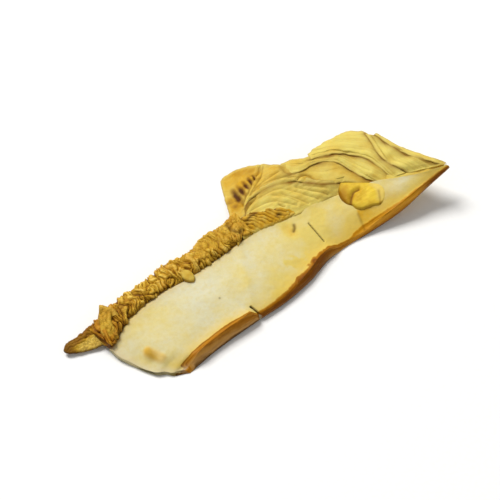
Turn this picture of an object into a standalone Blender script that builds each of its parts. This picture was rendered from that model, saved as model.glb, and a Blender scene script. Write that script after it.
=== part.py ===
"""One dried slice of a Caesar's mushroom cap, cut lengthwise and lying on one of its cut faces.

Metres, +Z up. +X runs along the slice towards its pointed end, and +Y from the skin of the cap
towards its gills. The origin is the middle of the footprint, on the surface that it lies on.

The flesh with its skin, the crinkled row of short gills on the left half and the overlapping long
gills on the right half grew as one piece, so they are joined into one solid. All sizes below are
in millimetres. A line of points is (x, y, z), and runs from the cut end to the pointed end.
"""

import math
import random

import bmesh
import bpy
import numpy as np
from mathutils import Matrix

MM = 0.001
SLICE_NAME = "mushroom_slice"

# The flesh: the foot of its skin, the line where the gills grow out of it, both on its lower
# face, and the outline of its thin cut end from the skin round to the gills.
SKIN_FOOT = (
    (-23.5, -18.8, -0.20), (-16.5, -16.8, -0.05), (-6.0, -14.9, 0.6), (1.0, -13.7, 0.7),
    (7.5, -11.8, 0.3), (14.0, -8.9, -0.30), (19.0, -7.5, -0.30), (25.0, -7.1, 0.8),
    (31.5, -7.0, 2.6), (37.5, -6.3, 4.9), (43.0, -6.2, 7.3),
)
GILL_ROOT = (
    (-34.8, -6.5, 1.2), (-28.0, -2.8, 1.4), (-21.0, -1.1, 1.4), (-12.0, -0.1, 1.3),
    (-5.0, 1.2, 1.1), (2.0, 2.6, 1.0), (9.0, 2.6, 1.0), (16.0, 2.9, 1.2), (22.0, 2.0, 1.7),
    (29.0, 0.3, 3.0), (34.0, -2.4, 4.4), (38.5, -4.7, 6.0), (42.4, -5.7, 7.5),
)
CUT_END = (
    (-23.5, -18.8, -0.20), (-26.0, -18.3, 0.1), (-28.4, -16.5, 0.8), (-31.0, -15.0, 0.6),
    (-34.0, -10.6, 0.8), (-34.8, -6.5, 1.2),
)
# How high the skin stands, as (x, height): it drops at the crack and again before the lobes.
SKIN_HIGH = (
    (-7.0, 3.0), (-4.8, 1.3), (1.0, 1.4), (7.0, 2.2), (12.0, 2.7), (15.0, 2.5), (18.0, 1.3),
    (24.0, 1.3), (28.0, 1.8), (33.0, 1.9), (38.0, 1.4), (43.0, 1.0),
)
SKIN_SLOPE, SKIN_BULGE, SKIN_REACH = 0.4, 0.12, 2.4
FLESH_THICK, TIP_THICK, CUT_END_THICK = 2.0, 1.0, 0.9
UNDER_ARCH = 0.55
CUT_END_SHARE, END_TAPER_SHARE, TIP_TAPER_SHARE = 0.22, 0.07, 0.35
STATIONS, FACE_STEPS, SKIN_STEPS = 30, 6, 3

# The crinkled row: short gills on edge, between the flesh's left half and an outer line (x, y).
ROW_OUTER = (
    (-36.6, -0.9), (-32.2, 0.8), (-27.0, 2.4), (-21.5, 3.2), (-16.0, 4.8),
    (-11.5, 4.7), (-6.5, 6.6), (-1.0, 7.4), (2.0, 8.8),
)
ROW_SHARE, ROW_LOW, ROW_HIGH = 0.48, 0.6, 4.4
SHORT_GILLS, SHORT_THICK, CORE_THICK = 27, 0.75, 1.5

# Low ridges that carry the row on over the first long gill, and fade out along the flesh.
RIDGES, RIDGE_THICK, RIDGE_LENGTH = 8, 0.6, 2.6
RIDGE_SHARES, RIDGE_FOOT, RIDGE_HIGH = (0.50, 0.63), 2.2, 1.6

# The tail: the outermost gills of the cut end, flattened into one pointed leaf.
TAIL = (
    ((-34.3, -5.9, 1.9), (-38.5, -5.3, 1.8), (-41.3, -4.6, 2.1), (-43.0, -3.8, 2.4)),
    ((-33.0, 0.2, 2.4), (-37.4, -1.2, 2.6), (-40.4, -1.9, 2.7), (-43.2, -2.2, 2.6)),
)
TAIL_THICK = 0.9

# The long gills: leaves that overlap like shingles, each with a front and a back edge.
COMB_FRONT = ((-1.3, 0.6, 2.5), (2.2, 2.0, 2.6), (11.7, 1.9, 2.8), (19.0, 1.9, 3.2), (22.0, 1.7, 3.6))
COMB_BACK = (
    (0.7, 8.5, 1.9), (4.5, 8.4, 2.7), (8.2, 9.4, 3.6), (11.9, 9.6, 4.1),
    (14.9, 8.6, 4.3), (17.2, 6.6, 4.4), (19.7, 4.7, 4.5), (24.0, 3.2, 4.7),
)
TAB_FRONT = (*COMB_BACK, (27.0, 0.8, 5.0), (29.5, -0.3, 5.1))
TAB_BACK = (
    (4.2, 17.9, 0.10), (7.5, 18.6, 0.7), (12.2, 16.3, 3.0), (15.2, 13.4, 4.0),
    (20.6, 10.4, 4.4), (24.9, 8.6, 4.7), (27.2, 4.4, 4.9), (29.6, 0.2, 5.1),
)
FOLD_FRONT = (
    (14.9, 12.6, 4.4), (15.3, 10.6, 4.5), (17.6, 9.6, 4.8), (21.0, 9.8, 5.1),
    (24.6, 8.1, 5.2), (26.2, 5.4, 5.3), (28.3, 1.2, 5.4), (30.0, -0.6, 5.5),
)
FOLD_BACK = (
    (15.6, 13.6, 4.1), (18.6, 12.9, 4.3), (21.6, 12.0, 4.4), (25.5, 10.6, 4.7),
    (28.4, 8.6, 4.9), (31.0, 5.6, 5.2), (32.2, 1.8, 5.5), (33.0, -1.8, 5.8),
)
BROAD_FRONT = (
    (21.0, 11.2, 5.0), (24.7, 9.8, 5.5), (27.4, 8.4, 5.7), (30.2, 5.8, 5.8),
    (31.4, 2.4, 6.0), (32.6, -1.5, 6.2),
)
BROAD_BACK = (
    (21.6, 12.9, 4.5), (26.4, 13.3, 4.9), (30.6, 13.2, 5.3), (33.6, 10.2, 5.9),
    (33.8, 6.0, 6.3), (33.6, 2.0, 6.5), (35.2, -2.4, 6.8),
)
STEEP_FRONT = ((33.2, 10.2, 6.5), (33.0, 7.2, 6.7), (32.8, 4.4, 6.8), (33.4, 1.4, 7.0), (35.6, -2.6, 7.3))
LAST_FRONT = ((34.4, 8.6, 7.0), (35.6, 4.2, 7.5), (37.4, 0.2, 7.9), (39.4, -2.6, 8.2), (41.8, -5.2, 8.5))
LAST_BACK = ((35.2, 8.8, 6.6), (36.8, 4.4, 7.2), (38.6, 0.8, 7.8), (40.6, -2.2, 8.3), (42.8, -5.2, 8.6))
UPPER_LEAVES = (
    (COMB_FRONT, COMB_BACK), (TAB_FRONT, TAB_BACK), (FOLD_FRONT, FOLD_BACK),
    (BROAD_FRONT, BROAD_BACK), (STEEP_FRONT, LAST_FRONT), (LAST_FRONT, LAST_BACK),
)
# Of those, the ones whose back edge runs on under the next leaf.
TUCKED_LEAVES = (0, 4)
# Two more lie under them, and carry them all the way to the pointed end.
LOWER_LEAVES = (
    (
        ((1.0, 2.0, 1.6), (9.0, 2.0, 1.8), (18.0, 2.0, 2.4), (26.0, 0.2, 3.7), (33.0, -2.8, 5.3)),
        ((3.0, 11.8, 0.9), (10.0, 11.9, 1.9), (17.5, 10.0, 2.9), (26.0, 10.0, 3.9), (33.2, 4.6, 5.6)),
    ),
    (
        (
            (10.0, 2.0, 2.6), (17.0, 2.0, 3.1), (24.0, 1.0, 4.0),
            (30.0, -1.2, 5.1), (36.0, -4.2, 6.8), (42.0, -6.4, 8.2),
        ),
        (
            (11.5, 14.4, 2.4), (18.5, 11.2, 3.3), (26.5, 12.0, 4.0),
            (32.6, 9.2, 5.3), (38.2, 0.0, 7.2), (42.6, -4.8, 8.3),
        ),
    ),
)
LEAF_THICK, LEAF_WAVE, TUCK, TUCK_DROP = 0.75, 0.22, 1.0, 0.55
LEAF_STEPS, LEAF_ROWS = 12, 3

# Small lobes of gill folded over onto the flesh: centre, half sizes, and turn in degrees.
LOBES = (
    ((-13.2, -1.6, 3.3), (2.2, 1.6, 0.9), 25.0),
    ((22.8, 0.5, 3.5), (1.7, 2.6, 1.0), -20.0),
    ((25.4, -1.9, 3.8), (3.1, 2.1, 1.0), -25.0),
)

# What is cut out. The crack crosses the skin, and the slots pierce the tab-shaped leaf in a row.
CRACK_PLACE, CRACK_SIZE, CRACK_TURN = (-5.6, -13.4, 2.7), (0.8, 3.4, 3.2), -14.0
SLOTS = (((5.1, 12.5), 2.4), ((6.4, 12.9), 1.9), ((7.6, 13.3), 1.6), ((8.7, 13.6), 1.3), ((9.7, 13.9), 0.9))
SLOT_WIDE, SLOT_DEEP, SLOT_TURN = 0.55, 6.0, 97.0
GROUND_SIZE = (120.0, 60.0, 6.0)


def smooth_line(points, places):
    """The points at these places, 0 to 1 along it, of a smooth curve through the given points."""
    knots = np.array(points, float)
    gaps = np.linalg.norm(np.diff(knots, axis=0), axis=1)
    at = np.concatenate([[0.0], np.cumsum(gaps)]) / gaps.sum()
    slopes = np.gradient(knots, at, axis=0)
    places = np.clip(places, 0.0, 1.0)
    span = np.clip(np.searchsorted(at, places, side="right") - 1, 0, len(gaps) - 1)
    width = (at[span + 1] - at[span])[:, None]
    t = (places - at[span])[:, None] / width
    start, end = knots[span], knots[span + 1]
    leave, arrive = slopes[span] * width, slopes[span + 1] * width
    return (
        (2 * t**3 - 3 * t**2 + 1) * start + (t**3 - 2 * t**2 + t) * leave
        + (3 * t**2 - 2 * t**3) * end + (t**3 - t**2) * arrive
    )


def ease(x):
    """0 below 0, 1 above 1, and a smooth step between them."""
    x = np.clip(x, 0.0, 1.0)
    return x * x * (3 - 2 * x)


def between(first, second, shares):
    """A grid of points: each row crosses from the first line to the second at these shares."""
    return first[:, None, :] + (second - first)[:, None, :] * shares[None, :, None]


def solid(name, shape, collection):
    """An object from a bmesh in millimetres: closed, in triangles, with its faces pointing out."""
    bmesh.ops.triangulate(shape, faces=shape.faces[:])
    bmesh.ops.recalc_face_normals(shape, faces=shape.faces[:])
    shape.transform(Matrix.Scale(MM, 4))
    mesh = bpy.data.meshes.new(name)
    shape.to_mesh(mesh)
    shape.free()
    made = bpy.data.objects.new(name, mesh)
    collection.objects.link(made)
    return made


def from_faces(name, points, faces, collection):
    """An object from points and the faces between them."""
    shape = bmesh.new()
    corners = [shape.verts.new(point) for point in points]
    for face in faces:
        shape.faces.new([corners[index] for index in face])
    return solid(name, shape, collection)


def section(along, foot, root, end_pull):
    """The ring round the flesh at one station: lower face, skin and upper face in turn."""
    across = np.linspace(0, 1, FACE_STEPS + 1)
    wide = np.linalg.norm((root - foot)[:2])
    inward = (root - foot)[:2] / wide
    lower = foot + (root - foot) * across[:, None]
    lower[:, 2] = foot[2] + (root - foot)[2] * across**1.6
    lower += end_pull * (1 - ease(along / CUT_END_SHARE))
    lower[:, 2] += UNDER_ARCH * np.sin(math.pi * across) ** 2 * ease(along / 0.1) * ease((1 - along) / 0.2)
    skin_high = np.interp(foot[0], *zip(*SKIN_HIGH))
    thick = TIP_THICK + (FLESH_THICK - TIP_THICK) * ease((1 - along) / TIP_TAPER_SHARE)
    rise = np.exp(-across * wide / SKIN_REACH)
    full = thick + (skin_high - thick) * rise
    upper = lower.copy()
    upper[:, 2] += CUT_END_THICK + (full - CUT_END_THICK) * ease(along / END_TAPER_SHARE)
    upper[:, :2] += inward * min(SKIN_SLOPE * skin_high, 0.3 * wide) * (1 - across[:, None]) ** 3
    climb = np.linspace(0, 1, SKIN_STEPS + 1)[1:-1, None]
    skin = lower[0] + (upper[0] - lower[0]) * climb
    skin[:, :2] -= inward * SKIN_BULGE * skin_high * np.sin(math.pi * climb)
    return np.vstack([lower[::-1], skin, upper])


def make_flesh(collection):
    """The flesh with the skin along one side: rings joined into a tube and closed at both ends."""
    places = np.linspace(0, 1, STATIONS) ** 1.1
    feet, roots = smooth_line(SKIN_FOOT, places), smooth_line(GILL_ROOT, places)
    straight = between(feet[:1], roots[:1], np.linspace(0, 1, FACE_STEPS + 1))[0]
    end_pull = smooth_line(CUT_END, np.linspace(0, 1, FACE_STEPS + 1)) - straight
    rings = [section(u, foot, root, end_pull) for u, foot, root in zip(places, feet, roots)]
    size = len(rings[0])
    faces = []
    for start in range(0, (STATIONS - 1) * size, size):
        for j in range(size):
            a, b = start + j, start + (j + 1) % size
            faces += [(a, b, b + size), (a, b + size, a + size)]
    last = (STATIONS - 1) * size
    for start in (0, last):
        for j in range(FACE_STEPS):
            low, high = start + j, start + size - 1 - j
            faces.append((low, low + 1, high - 1, high))
        faces.append(tuple(range(start + FACE_STEPS, start + size - FACE_STEPS)))
    return from_faces(SLICE_NAME, np.vstack(rings), faces, collection)


def blade(name, middle, thick, collection):
    """A blade about a grid of points: both its faces are split into triangles alike."""
    rows, columns = middle.shape[:2]
    normal = np.cross(np.gradient(middle, axis=0), np.gradient(middle, axis=1))
    normal *= thick / 2 / np.linalg.norm(normal, axis=2, keepdims=True)
    points = np.vstack([(middle + normal).reshape(-1, 3), (middle - normal).reshape(-1, 3)])
    under = rows * columns
    faces = []
    for i in range(rows - 1):
        for a in range(i * columns, i * columns + columns - 1):
            for face in ((a, a + columns, a + columns + 1), (a, a + columns + 1, a + 1)):
                faces += [face, tuple(under + index for index in reversed(face))]
    rim = [i * columns for i in range(rows)] + [(rows - 1) * columns + j for j in range(1, columns)]
    rim += [i * columns - 1 for i in range(rows - 1, 0, -1)] + list(range(columns - 2, 0, -1))
    for a, b in zip(rim, rim[1:] + rim[:1]):
        faces += [(a, under + a, under + b), (a, under + b, b)]
    from_faces(name, points, faces, collection)


def leaf(name, edges, tucked, draw, collection):
    """A long gill: a waved leaf between two edges, which may run on under its neighbour."""
    steps = np.linspace(0, 1, LEAF_STEPS)
    front, back = (smooth_line(edge, steps) for edge in edges)
    length = np.linalg.norm((back - front)[:, :2], axis=1, keepdims=True)
    if tucked:
        back += (back - front) / length * TUCK * ease(length / 3.0)
        back[:, 2] -= TUCK_DROP
    shares = np.linspace(0, 1, LEAF_ROWS + 1)
    grid = between(front, back, shares)
    phase = draw.uniform(2.2, 3.4) * steps[:, None] + 0.5 * shares[None, :]
    wave = np.sin(math.tau * phase + draw.uniform(0, math.tau))
    grid[..., 2] += LEAF_WAVE * wave * ease(length / 5.0)
    blade(name, grid, LEAF_THICK, collection)


def long_gills(collection):
    """The overlapping leaves of the right half, those that show and those that lie under them."""
    draw = random.Random(11)
    for number, edges in enumerate(UPPER_LEAVES):
        leaf(f"upper_leaf_{number}", edges, number in TUCKED_LEAVES, draw, collection)
    for number, edges in enumerate(LOWER_LEAVES):
        leaf(f"lower_leaf_{number}", edges, False, draw, collection)


def tail(collection):
    """The pointed leaf at the cut end, arched a little across its width."""
    front, back = (smooth_line(edge, np.linspace(0, 1, 7)) for edge in TAIL)
    shares = np.linspace(0, 1, 4)
    grid = between(front, back, shares)
    arch = 0.06 * np.linalg.norm(back - front, axis=1)
    grid[..., 2] += arch[:, None] * np.sin(math.pi * shares)
    blade("tail", grid, TAIL_THICK, collection)


def row_lines(places):
    """The inner and the outer line of the crinkled row at these places, 0 to 1 along it."""
    roots = smooth_line(GILL_ROOT, ROW_SHARE * np.asarray(places))
    outer = smooth_line([(x, y, 0.0) for x, y in ROW_OUTER], places)
    return roots, outer


def row_core(collection):
    """A slab along the middle of the row, which its short gills stand out of."""
    roots, outer = row_lines(np.linspace(0, 1, 18))
    shares = np.linspace(-0.06, 0.82, 4)
    grid = between(roots, outer, shares)
    grid[..., 2] = (ROW_LOW + ROW_HIGH) / 2 + 0.1 - 0.5 * np.clip(shares, 0, 1) ** 2
    blade("row_core", grid, CORE_THICK, collection)


def short_gills(collection):
    """The short gills, side by side across the row, each on edge and crinkled in its own way."""
    draw = random.Random(5)
    climb = np.linspace(0, 1, 3)
    for number in range(SHORT_GILLS):
        place = (number + 0.5 + draw.uniform(-0.25, 0.25)) / SHORT_GILLS
        root = row_lines([place])[0][0]
        outer = row_lines([place + draw.uniform(-0.02, 0.03)])[1][0]
        out = (outer - root)[:2]
        side = np.array([-out[1], out[0]]) / np.linalg.norm(out)
        reach = np.linspace(-0.1, 1.0 + draw.uniform(-0.06, 0.08), 5)
        crinkle = 0.35 * np.sin(math.tau * 1.3 * reach + draw.uniform(0, math.tau))
        crinkle += draw.uniform(-0.7, 0.7) * np.sin(math.pi * reach)
        lean = draw.uniform(-0.8, 0.8) * (climb - 0.5)
        low, high = ROW_LOW + draw.uniform(0.0, 0.6), ROW_HIGH + draw.uniform(-0.4, 0.5)
        droop = 0.55 * np.clip(reach, 0, 1) ** 3
        grid = np.zeros((len(reach), len(climb), 3))
        grid[..., :2] = (root[:2] + out * reach[:, None])[:, None, :]
        grid[..., :2] += side * (crinkle[:, None] + lean)[..., None]
        grid[..., 2] = low + (high - low) * climb + droop[:, None] * (0.5 - 1.5 * climb)
        blade(f"short_gill_{number:02d}", grid, SHORT_THICK, collection)


def ridges(collection):
    """Low ridges across the edge of the flesh, shorter one by one towards the pointed end."""
    draw = random.Random(8)
    first, last = RIDGE_SHARES
    for number in range(RIDGES):
        share = number / (RIDGES - 1)
        root, ahead = smooth_line(GILL_ROOT, np.array([0.0, 0.02]) + first + (last - first) * share)
        away = np.array([root[1] - ahead[1], ahead[0] - root[0]])
        away /= np.linalg.norm(away)
        length = RIDGE_LENGTH * (1 - 0.5 * share) + draw.uniform(-0.3, 0.3)
        reach = np.linspace(-0.3, length, 4)
        grid = np.zeros((len(reach), 2, 3))
        grid[..., :2] = (root[:2] + away * reach[:, None])[:, None, :]
        grid[..., 0] += 0.25 * np.sin(2.0 * reach + draw.uniform(0, math.tau))[:, None]
        top = 0.9 + (RIDGE_HIGH - 0.9) * np.sin(math.pi * np.clip(0.3 + 0.7 * reach / length, 0, 1))
        grid[..., 2] = RIDGE_FOOT + top[:, None] * np.array([0.0, 1.0])
        blade(f"ridge_{number}", grid, RIDGE_THICK, collection)


def placed(place, size, degrees):
    """The matrix that sizes a unit shape, turns it about the vertical and puts it in its place."""
    turn = Matrix.Rotation(math.radians(degrees), 4, "Z")
    return Matrix.Translation(place) @ turn @ Matrix.Diagonal((*size, 1.0))


def lobes(collection):
    """Small folded lobes: low domes with an uneven outline, sunk into what they lie on."""
    for number, (place, size, degrees) in enumerate(LOBES):
        shape = bmesh.new()
        bmesh.ops.create_icosphere(shape, subdivisions=2, radius=1.0)
        for corner in shape.verts:
            turn = math.atan2(corner.co.y, corner.co.x)
            corner.co.xy *= 1 + 0.12 * math.sin(2 * turn + 1.0) + 0.07 * math.sin(3 * turn)
        shape.transform(placed(place, size, degrees))
        solid(f"lobe_{number}", shape, collection)


def cutter(name, place, size, degrees, foot, collection):
    """A cutting block; its foot is this share of its top in width."""
    shape = bmesh.new()
    bmesh.ops.create_cube(shape, size=1.0)
    for corner in shape.verts:
        corner.co.x *= foot if corner.co.z < 0 else 1.0
    shape.transform(placed(place, size, degrees))
    solid(name, shape, collection)


def cutters(collection):
    """The crack in the skin, the slots in the leaf, and the ground that flattens three low spots."""
    cutter("crack", CRACK_PLACE, CRACK_SIZE, CRACK_TURN, 0.5, collection)
    for number, ((x, y), length) in enumerate(SLOTS):
        size = (length, SLOT_WIDE, SLOT_DEEP)
        cutter(f"slot_{number}", (x, y, SLOT_DEEP / 2 + 0.1), size, SLOT_TURN, 1.0, collection)
    cutter("ground", (0.0, 0.0, -GROUND_SIZE[2] / 2), GROUND_SIZE, 0.0, 1.0, collection)


def keep_outer_shell(mesh):
    """Fills the closed pockets left between leaves, by removing all shells but the largest."""
    shape = bmesh.new()
    shape.from_mesh(mesh)
    waiting = set(shape.faces)
    shells = []
    while waiting:
        shell, border = [], [waiting.pop()]
        while border:
            face = border.pop()
            shell.append(face)
            beside = {other for edge in face.edges for other in edge.link_faces} & waiting
            waiting -= beside
            border += beside
        shells.append(shell)
    shells.sort(key=len)
    inner = [face for shell in shells[:-1] for face in shell]
    bmesh.ops.delete(shape, geom=inner, context="FACES")
    bmesh.ops.triangulate(shape, faces=shape.faces[:])
    shape.to_mesh(mesh)
    shape.free()


def combine(target, collection, operation):
    """One Boolean of the target with the whole collection, applied, and the pieces removed."""
    joint = target.modifiers.new("joint", "BOOLEAN")
    joint.operation = operation
    joint.operand_type = "COLLECTION"
    joint.collection = collection
    joint.solver = "EXACT"
    graph = bpy.context.evaluated_depsgraph_get()
    mesh = bpy.data.meshes.new_from_object(target.evaluated_get(graph))
    target.modifiers.clear()
    keep_outer_shell(mesh)
    target.data = mesh
    for piece in list(collection.objects):
        bpy.data.objects.remove(piece)
    bpy.data.collections.remove(collection)


def centre(thing):
    """Moves the points so that the middle of the footprint is the origin."""
    corners = np.array([vertex.co for vertex in thing.data.vertices])
    middle = (corners.min(axis=0) + corners.max(axis=0)) / 2
    thing.data.transform(Matrix.Translation((-middle[0], -middle[1], 0.0)))


def dried_flesh():
    """The pale yellow of dried flesh, matt."""
    material = bpy.data.materials.new("dried_flesh")
    material.use_nodes = True
    shader = material.node_tree.nodes["Principled BSDF"]
    shader.inputs["Base Color"].default_value = (0.78, 0.62, 0.30, 1.0)
    shader.inputs["Roughness"].default_value = 0.75
    shader.inputs["Metallic"].default_value = 0.0
    return material


def new_collection(name):
    """An empty collection in the scene."""
    made = bpy.data.collections.new(name)
    bpy.context.scene.collection.children.link(made)
    return made


def main():
    """Clears the scene and builds the slice."""
    for old in list(bpy.data.objects):
        bpy.data.objects.remove(old)
    whole = make_flesh(bpy.context.scene.collection)
    gills = new_collection("gills")
    for grow in (row_core, short_gills, ridges, tail, long_gills, lobes):
        grow(gills)
    combine(whole, gills, "UNION")
    cuts = new_collection("cuts")
    cutters(cuts)
    combine(whole, cuts, "DIFFERENCE")
    centre(whole)
    whole.data.materials.clear()
    whole.data.materials.append(dried_flesh())


main()
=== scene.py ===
"""A dried, cut slice of a Caesar's mushroom cap, dressed for its portrait.

The solid slice is loaded as the frame, and finer pieces stand for it: the flesh with its strip of
skin, the crinkled short gills, the comb, the overlapping long gills, the tail and the folded
lobes. Lines and sizes are in millimetres, in the part's own frame, and become metres where a mesh
is made. A line of points is (x, y, z), or (x, y) where only its place from above counts, and it
goes from the cut end at the left to the pointed end.
"""

from __future__ import annotations

import logging
import math
import random
from collections.abc import Callable
from dataclasses import dataclass, field
from enum import Enum
from functools import partial

import bpy
import numpy as np
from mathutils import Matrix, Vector


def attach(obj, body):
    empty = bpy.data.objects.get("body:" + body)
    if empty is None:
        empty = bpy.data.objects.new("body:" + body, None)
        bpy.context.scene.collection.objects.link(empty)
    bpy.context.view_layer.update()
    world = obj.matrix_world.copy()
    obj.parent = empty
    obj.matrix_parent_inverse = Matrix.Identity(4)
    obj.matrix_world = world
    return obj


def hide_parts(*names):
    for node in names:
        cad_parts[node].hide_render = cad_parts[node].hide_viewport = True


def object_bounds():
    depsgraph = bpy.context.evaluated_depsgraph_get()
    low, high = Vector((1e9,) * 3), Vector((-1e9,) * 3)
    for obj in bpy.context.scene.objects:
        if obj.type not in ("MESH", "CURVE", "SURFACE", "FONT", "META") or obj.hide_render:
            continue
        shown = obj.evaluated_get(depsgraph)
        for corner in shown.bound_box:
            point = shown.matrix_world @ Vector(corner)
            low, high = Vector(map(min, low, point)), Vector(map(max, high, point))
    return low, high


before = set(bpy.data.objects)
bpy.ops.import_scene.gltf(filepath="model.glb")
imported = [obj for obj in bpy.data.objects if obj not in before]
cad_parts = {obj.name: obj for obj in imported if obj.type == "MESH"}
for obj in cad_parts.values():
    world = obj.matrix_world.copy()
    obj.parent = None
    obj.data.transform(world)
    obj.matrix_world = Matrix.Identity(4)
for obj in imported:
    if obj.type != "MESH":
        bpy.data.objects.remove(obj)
CAD_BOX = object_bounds()

MM = 0.001
BODY = "root"
NODE = "mushroom_slice"
# The solid slice's footprint was centred by this much after its lines were drawn.
CENTRING = (0.100, 0.037, 0.0)
# A line is measured from as this many points.
LINE_STEPS = 90
LOG = logging.getLogger("slice")

Point = tuple[float, float, float]
Spot = tuple[float, float]
Marks = dict[str, np.ndarray]
Socket = bpy.types.NodeSocket
Adder = Callable[..., Socket]


# Shapes in numbers


def ease(x: np.ndarray | float) -> np.ndarray:
    """Returns 0 below 0, 1 above 1, and a smooth step between them."""
    x = np.clip(x, 0.0, 1.0)
    return x * x * (3 - 2 * x)


def dip(distance: np.ndarray, width: float) -> np.ndarray:
    """Returns a soft bump of height 1 at distance 0, gone a few widths away."""
    return np.exp(-((distance / width) ** 2))


def between(first: np.ndarray, second: np.ndarray, shares: np.ndarray) -> np.ndarray:
    """Spans a grid from one line of points to another.

    Args:
        first: The points where each row starts.
        second: The points where each row ends.
        shares: How far along a row each of its points lies, 0 to 1.

    Returns:
        The grid, one row for each pair of points.
    """
    shares = np.atleast_2d(shares)
    return first[:, None, :] + (second - first)[:, None, :] * shares[..., None]


def joined(*parts: np.ndarray | float) -> np.ndarray:
    """Joins coordinates into points, each stretched to the shape of the largest."""
    return np.stack(np.broadcast_arrays(*parts), -1)


def travelled(points: np.ndarray) -> np.ndarray:
    """Returns how far along their own line the points lie."""
    return np.concatenate([[0.0], np.cumsum(np.linalg.norm(np.diff(points, axis=0), axis=1))])


def rounded(edge: np.ndarray, width: float, least: float) -> np.ndarray:
    """Returns how thick a sheet is near its edge: 1 inside, then a quarter circle to the edge.

    Args:
        edge: How far each point lies from the edge.
        width: How far in the rounding starts.
        least: The square of the share that is left at the edge.

    Returns:
        The share of the full thickness at each point.
    """
    return np.sqrt(np.clip(1 - (1 - np.clip(edge / width, 0, 1)) ** 2, least, 1))


@dataclass(frozen=True)
class Line:
    """A smooth line through points in millimetres."""

    points: tuple[Point, ...] | tuple[Spot, ...]

    def at(self, places: np.ndarray) -> np.ndarray:
        """Finds points on the line.

        Args:
            places: How far along the line, 0 to 1.

        Returns:
            One point for each place.
        """
        knots = np.array(self.points, float)
        at = travelled(knots)
        at /= at[-1]
        slopes = np.gradient(knots, at, axis=0)
        places = np.clip(np.asarray(places, float), 0.0, 1.0)
        span = np.clip(np.searchsorted(at, places, side="right") - 1, 0, len(knots) - 2)
        width = (at[span + 1] - at[span])[:, None]
        t = (places - at[span])[:, None] / width
        start, end = knots[span], knots[span + 1]
        leave, arrive = slopes[span] * width, slopes[span + 1] * width
        return (
            (2 * t**3 - 3 * t**2 + 1) * start + (t**3 - 2 * t**2 + t) * leave
            + (3 * t**2 - 2 * t**3) * end + (t**3 - t**2) * arrive
        )

    def distance(self, points: np.ndarray) -> np.ndarray:
        """Measures how far points lie from the line, seen from above.

        Args:
            points: Any array of points, the last axis being x, y, z.

        Returns:
            The distance of each point, in millimetres.
        """
        course = self.at(np.linspace(0, 1, LINE_STEPS))[:, :2]
        flat = points.reshape(-1, points.shape[-1])[:, :2]
        start, step = course[:-1], np.diff(course, axis=0)
        nearest = np.full(len(flat), 1e9)
        for corner, way in zip(start, step):
            share = np.clip((flat - corner) @ way / (way @ way + 1e-12), 0, 1)
            nearest = np.minimum(nearest, np.linalg.norm(flat - corner - share[:, None] * way, axis=1))
        return nearest.reshape(points.shape[:-1])


class Grain:
    """Smooth random grain in space, the same for the same seed."""

    def __init__(self, seed: int) -> None:
        """Draws the grain's table of directions.

        Args:
            seed: The seed of the draw.
        """
        draw = np.random.default_rng(seed)
        self.order = draw.permutation(256)
        slopes = draw.normal(size=(256, 3))
        self.slopes = slopes / np.linalg.norm(slopes, axis=1, keepdims=True)

    def at(self, points: np.ndarray, size: float | Point, layers: int = 1) -> np.ndarray:
        """Reads the grain.

        Args:
            points: Any array of points in millimetres.
            size: The size of the grain in millimetres, the same each way or one for each axis.
            layers: How many grains are laid over each other, each half the size of the last.

        Returns:
            One value for each point, from about -1 to 1.
        """
        total = np.zeros(points.shape[:-1])
        for layer in range(layers):
            at = points / (np.asarray(size) / 2**layer) + 17.3 * layer
            cell = np.floor(at).astype(int)
            inside = at - cell
            blend = inside**3 * (inside * (inside * 6 - 15) + 10)
            for corner in np.ndindex(2, 2, 2):
                spot = cell + np.array(corner)
                key = self.order[spot[..., 0] & 255]
                key = self.order[(key + spot[..., 1]) & 255]
                key = self.order[(key + spot[..., 2]) & 255]
                share = np.prod(np.where(np.array(corner) == 1, blend, 1 - blend), axis=-1)
                total += share * np.sum(self.slopes[key] * (inside - corner), axis=-1) / 2**layer
        return 1.6 * total


# From numbers to meshes


def grid_faces(rows: int, columns: int, ring: bool = False, start: int = 0) -> np.ndarray:
    """Lists the four-sided faces between the points of a grid.

    Args:
        rows: The number of rows.
        columns: The number of points in a row.
        ring: Whether each row closes on itself.
        start: The number of the grid's first point.

    Returns:
        The point numbers of each face.
    """
    i, j = np.meshgrid(np.arange(rows - 1), np.arange(columns if ring else columns - 1), indexing="ij")
    a, b = i * columns + j, i * columns + (j + 1) % columns
    return start + np.stack([a, b, b + columns, a + columns], -1).reshape(-1, 4)


def closed_faces(rings: int, columns: int, turned: bool = False) -> list[tuple[int, ...]]:
    """Lists the faces of a tube of rings with a cap at each end.

    Args:
        rings: The number of rings.
        columns: The number of points in a ring.
        turned: Whether the faces look the other way.

    Returns:
        The point numbers of each face.
    """
    last = (rings - 1) * columns
    faces = grid_faces(rings, columns, ring=True).tolist()
    faces += [list(range(columns))[::-1], list(range(last, last + columns))]
    return [tuple(face[::-1] if turned else face) for face in faces]


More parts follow.
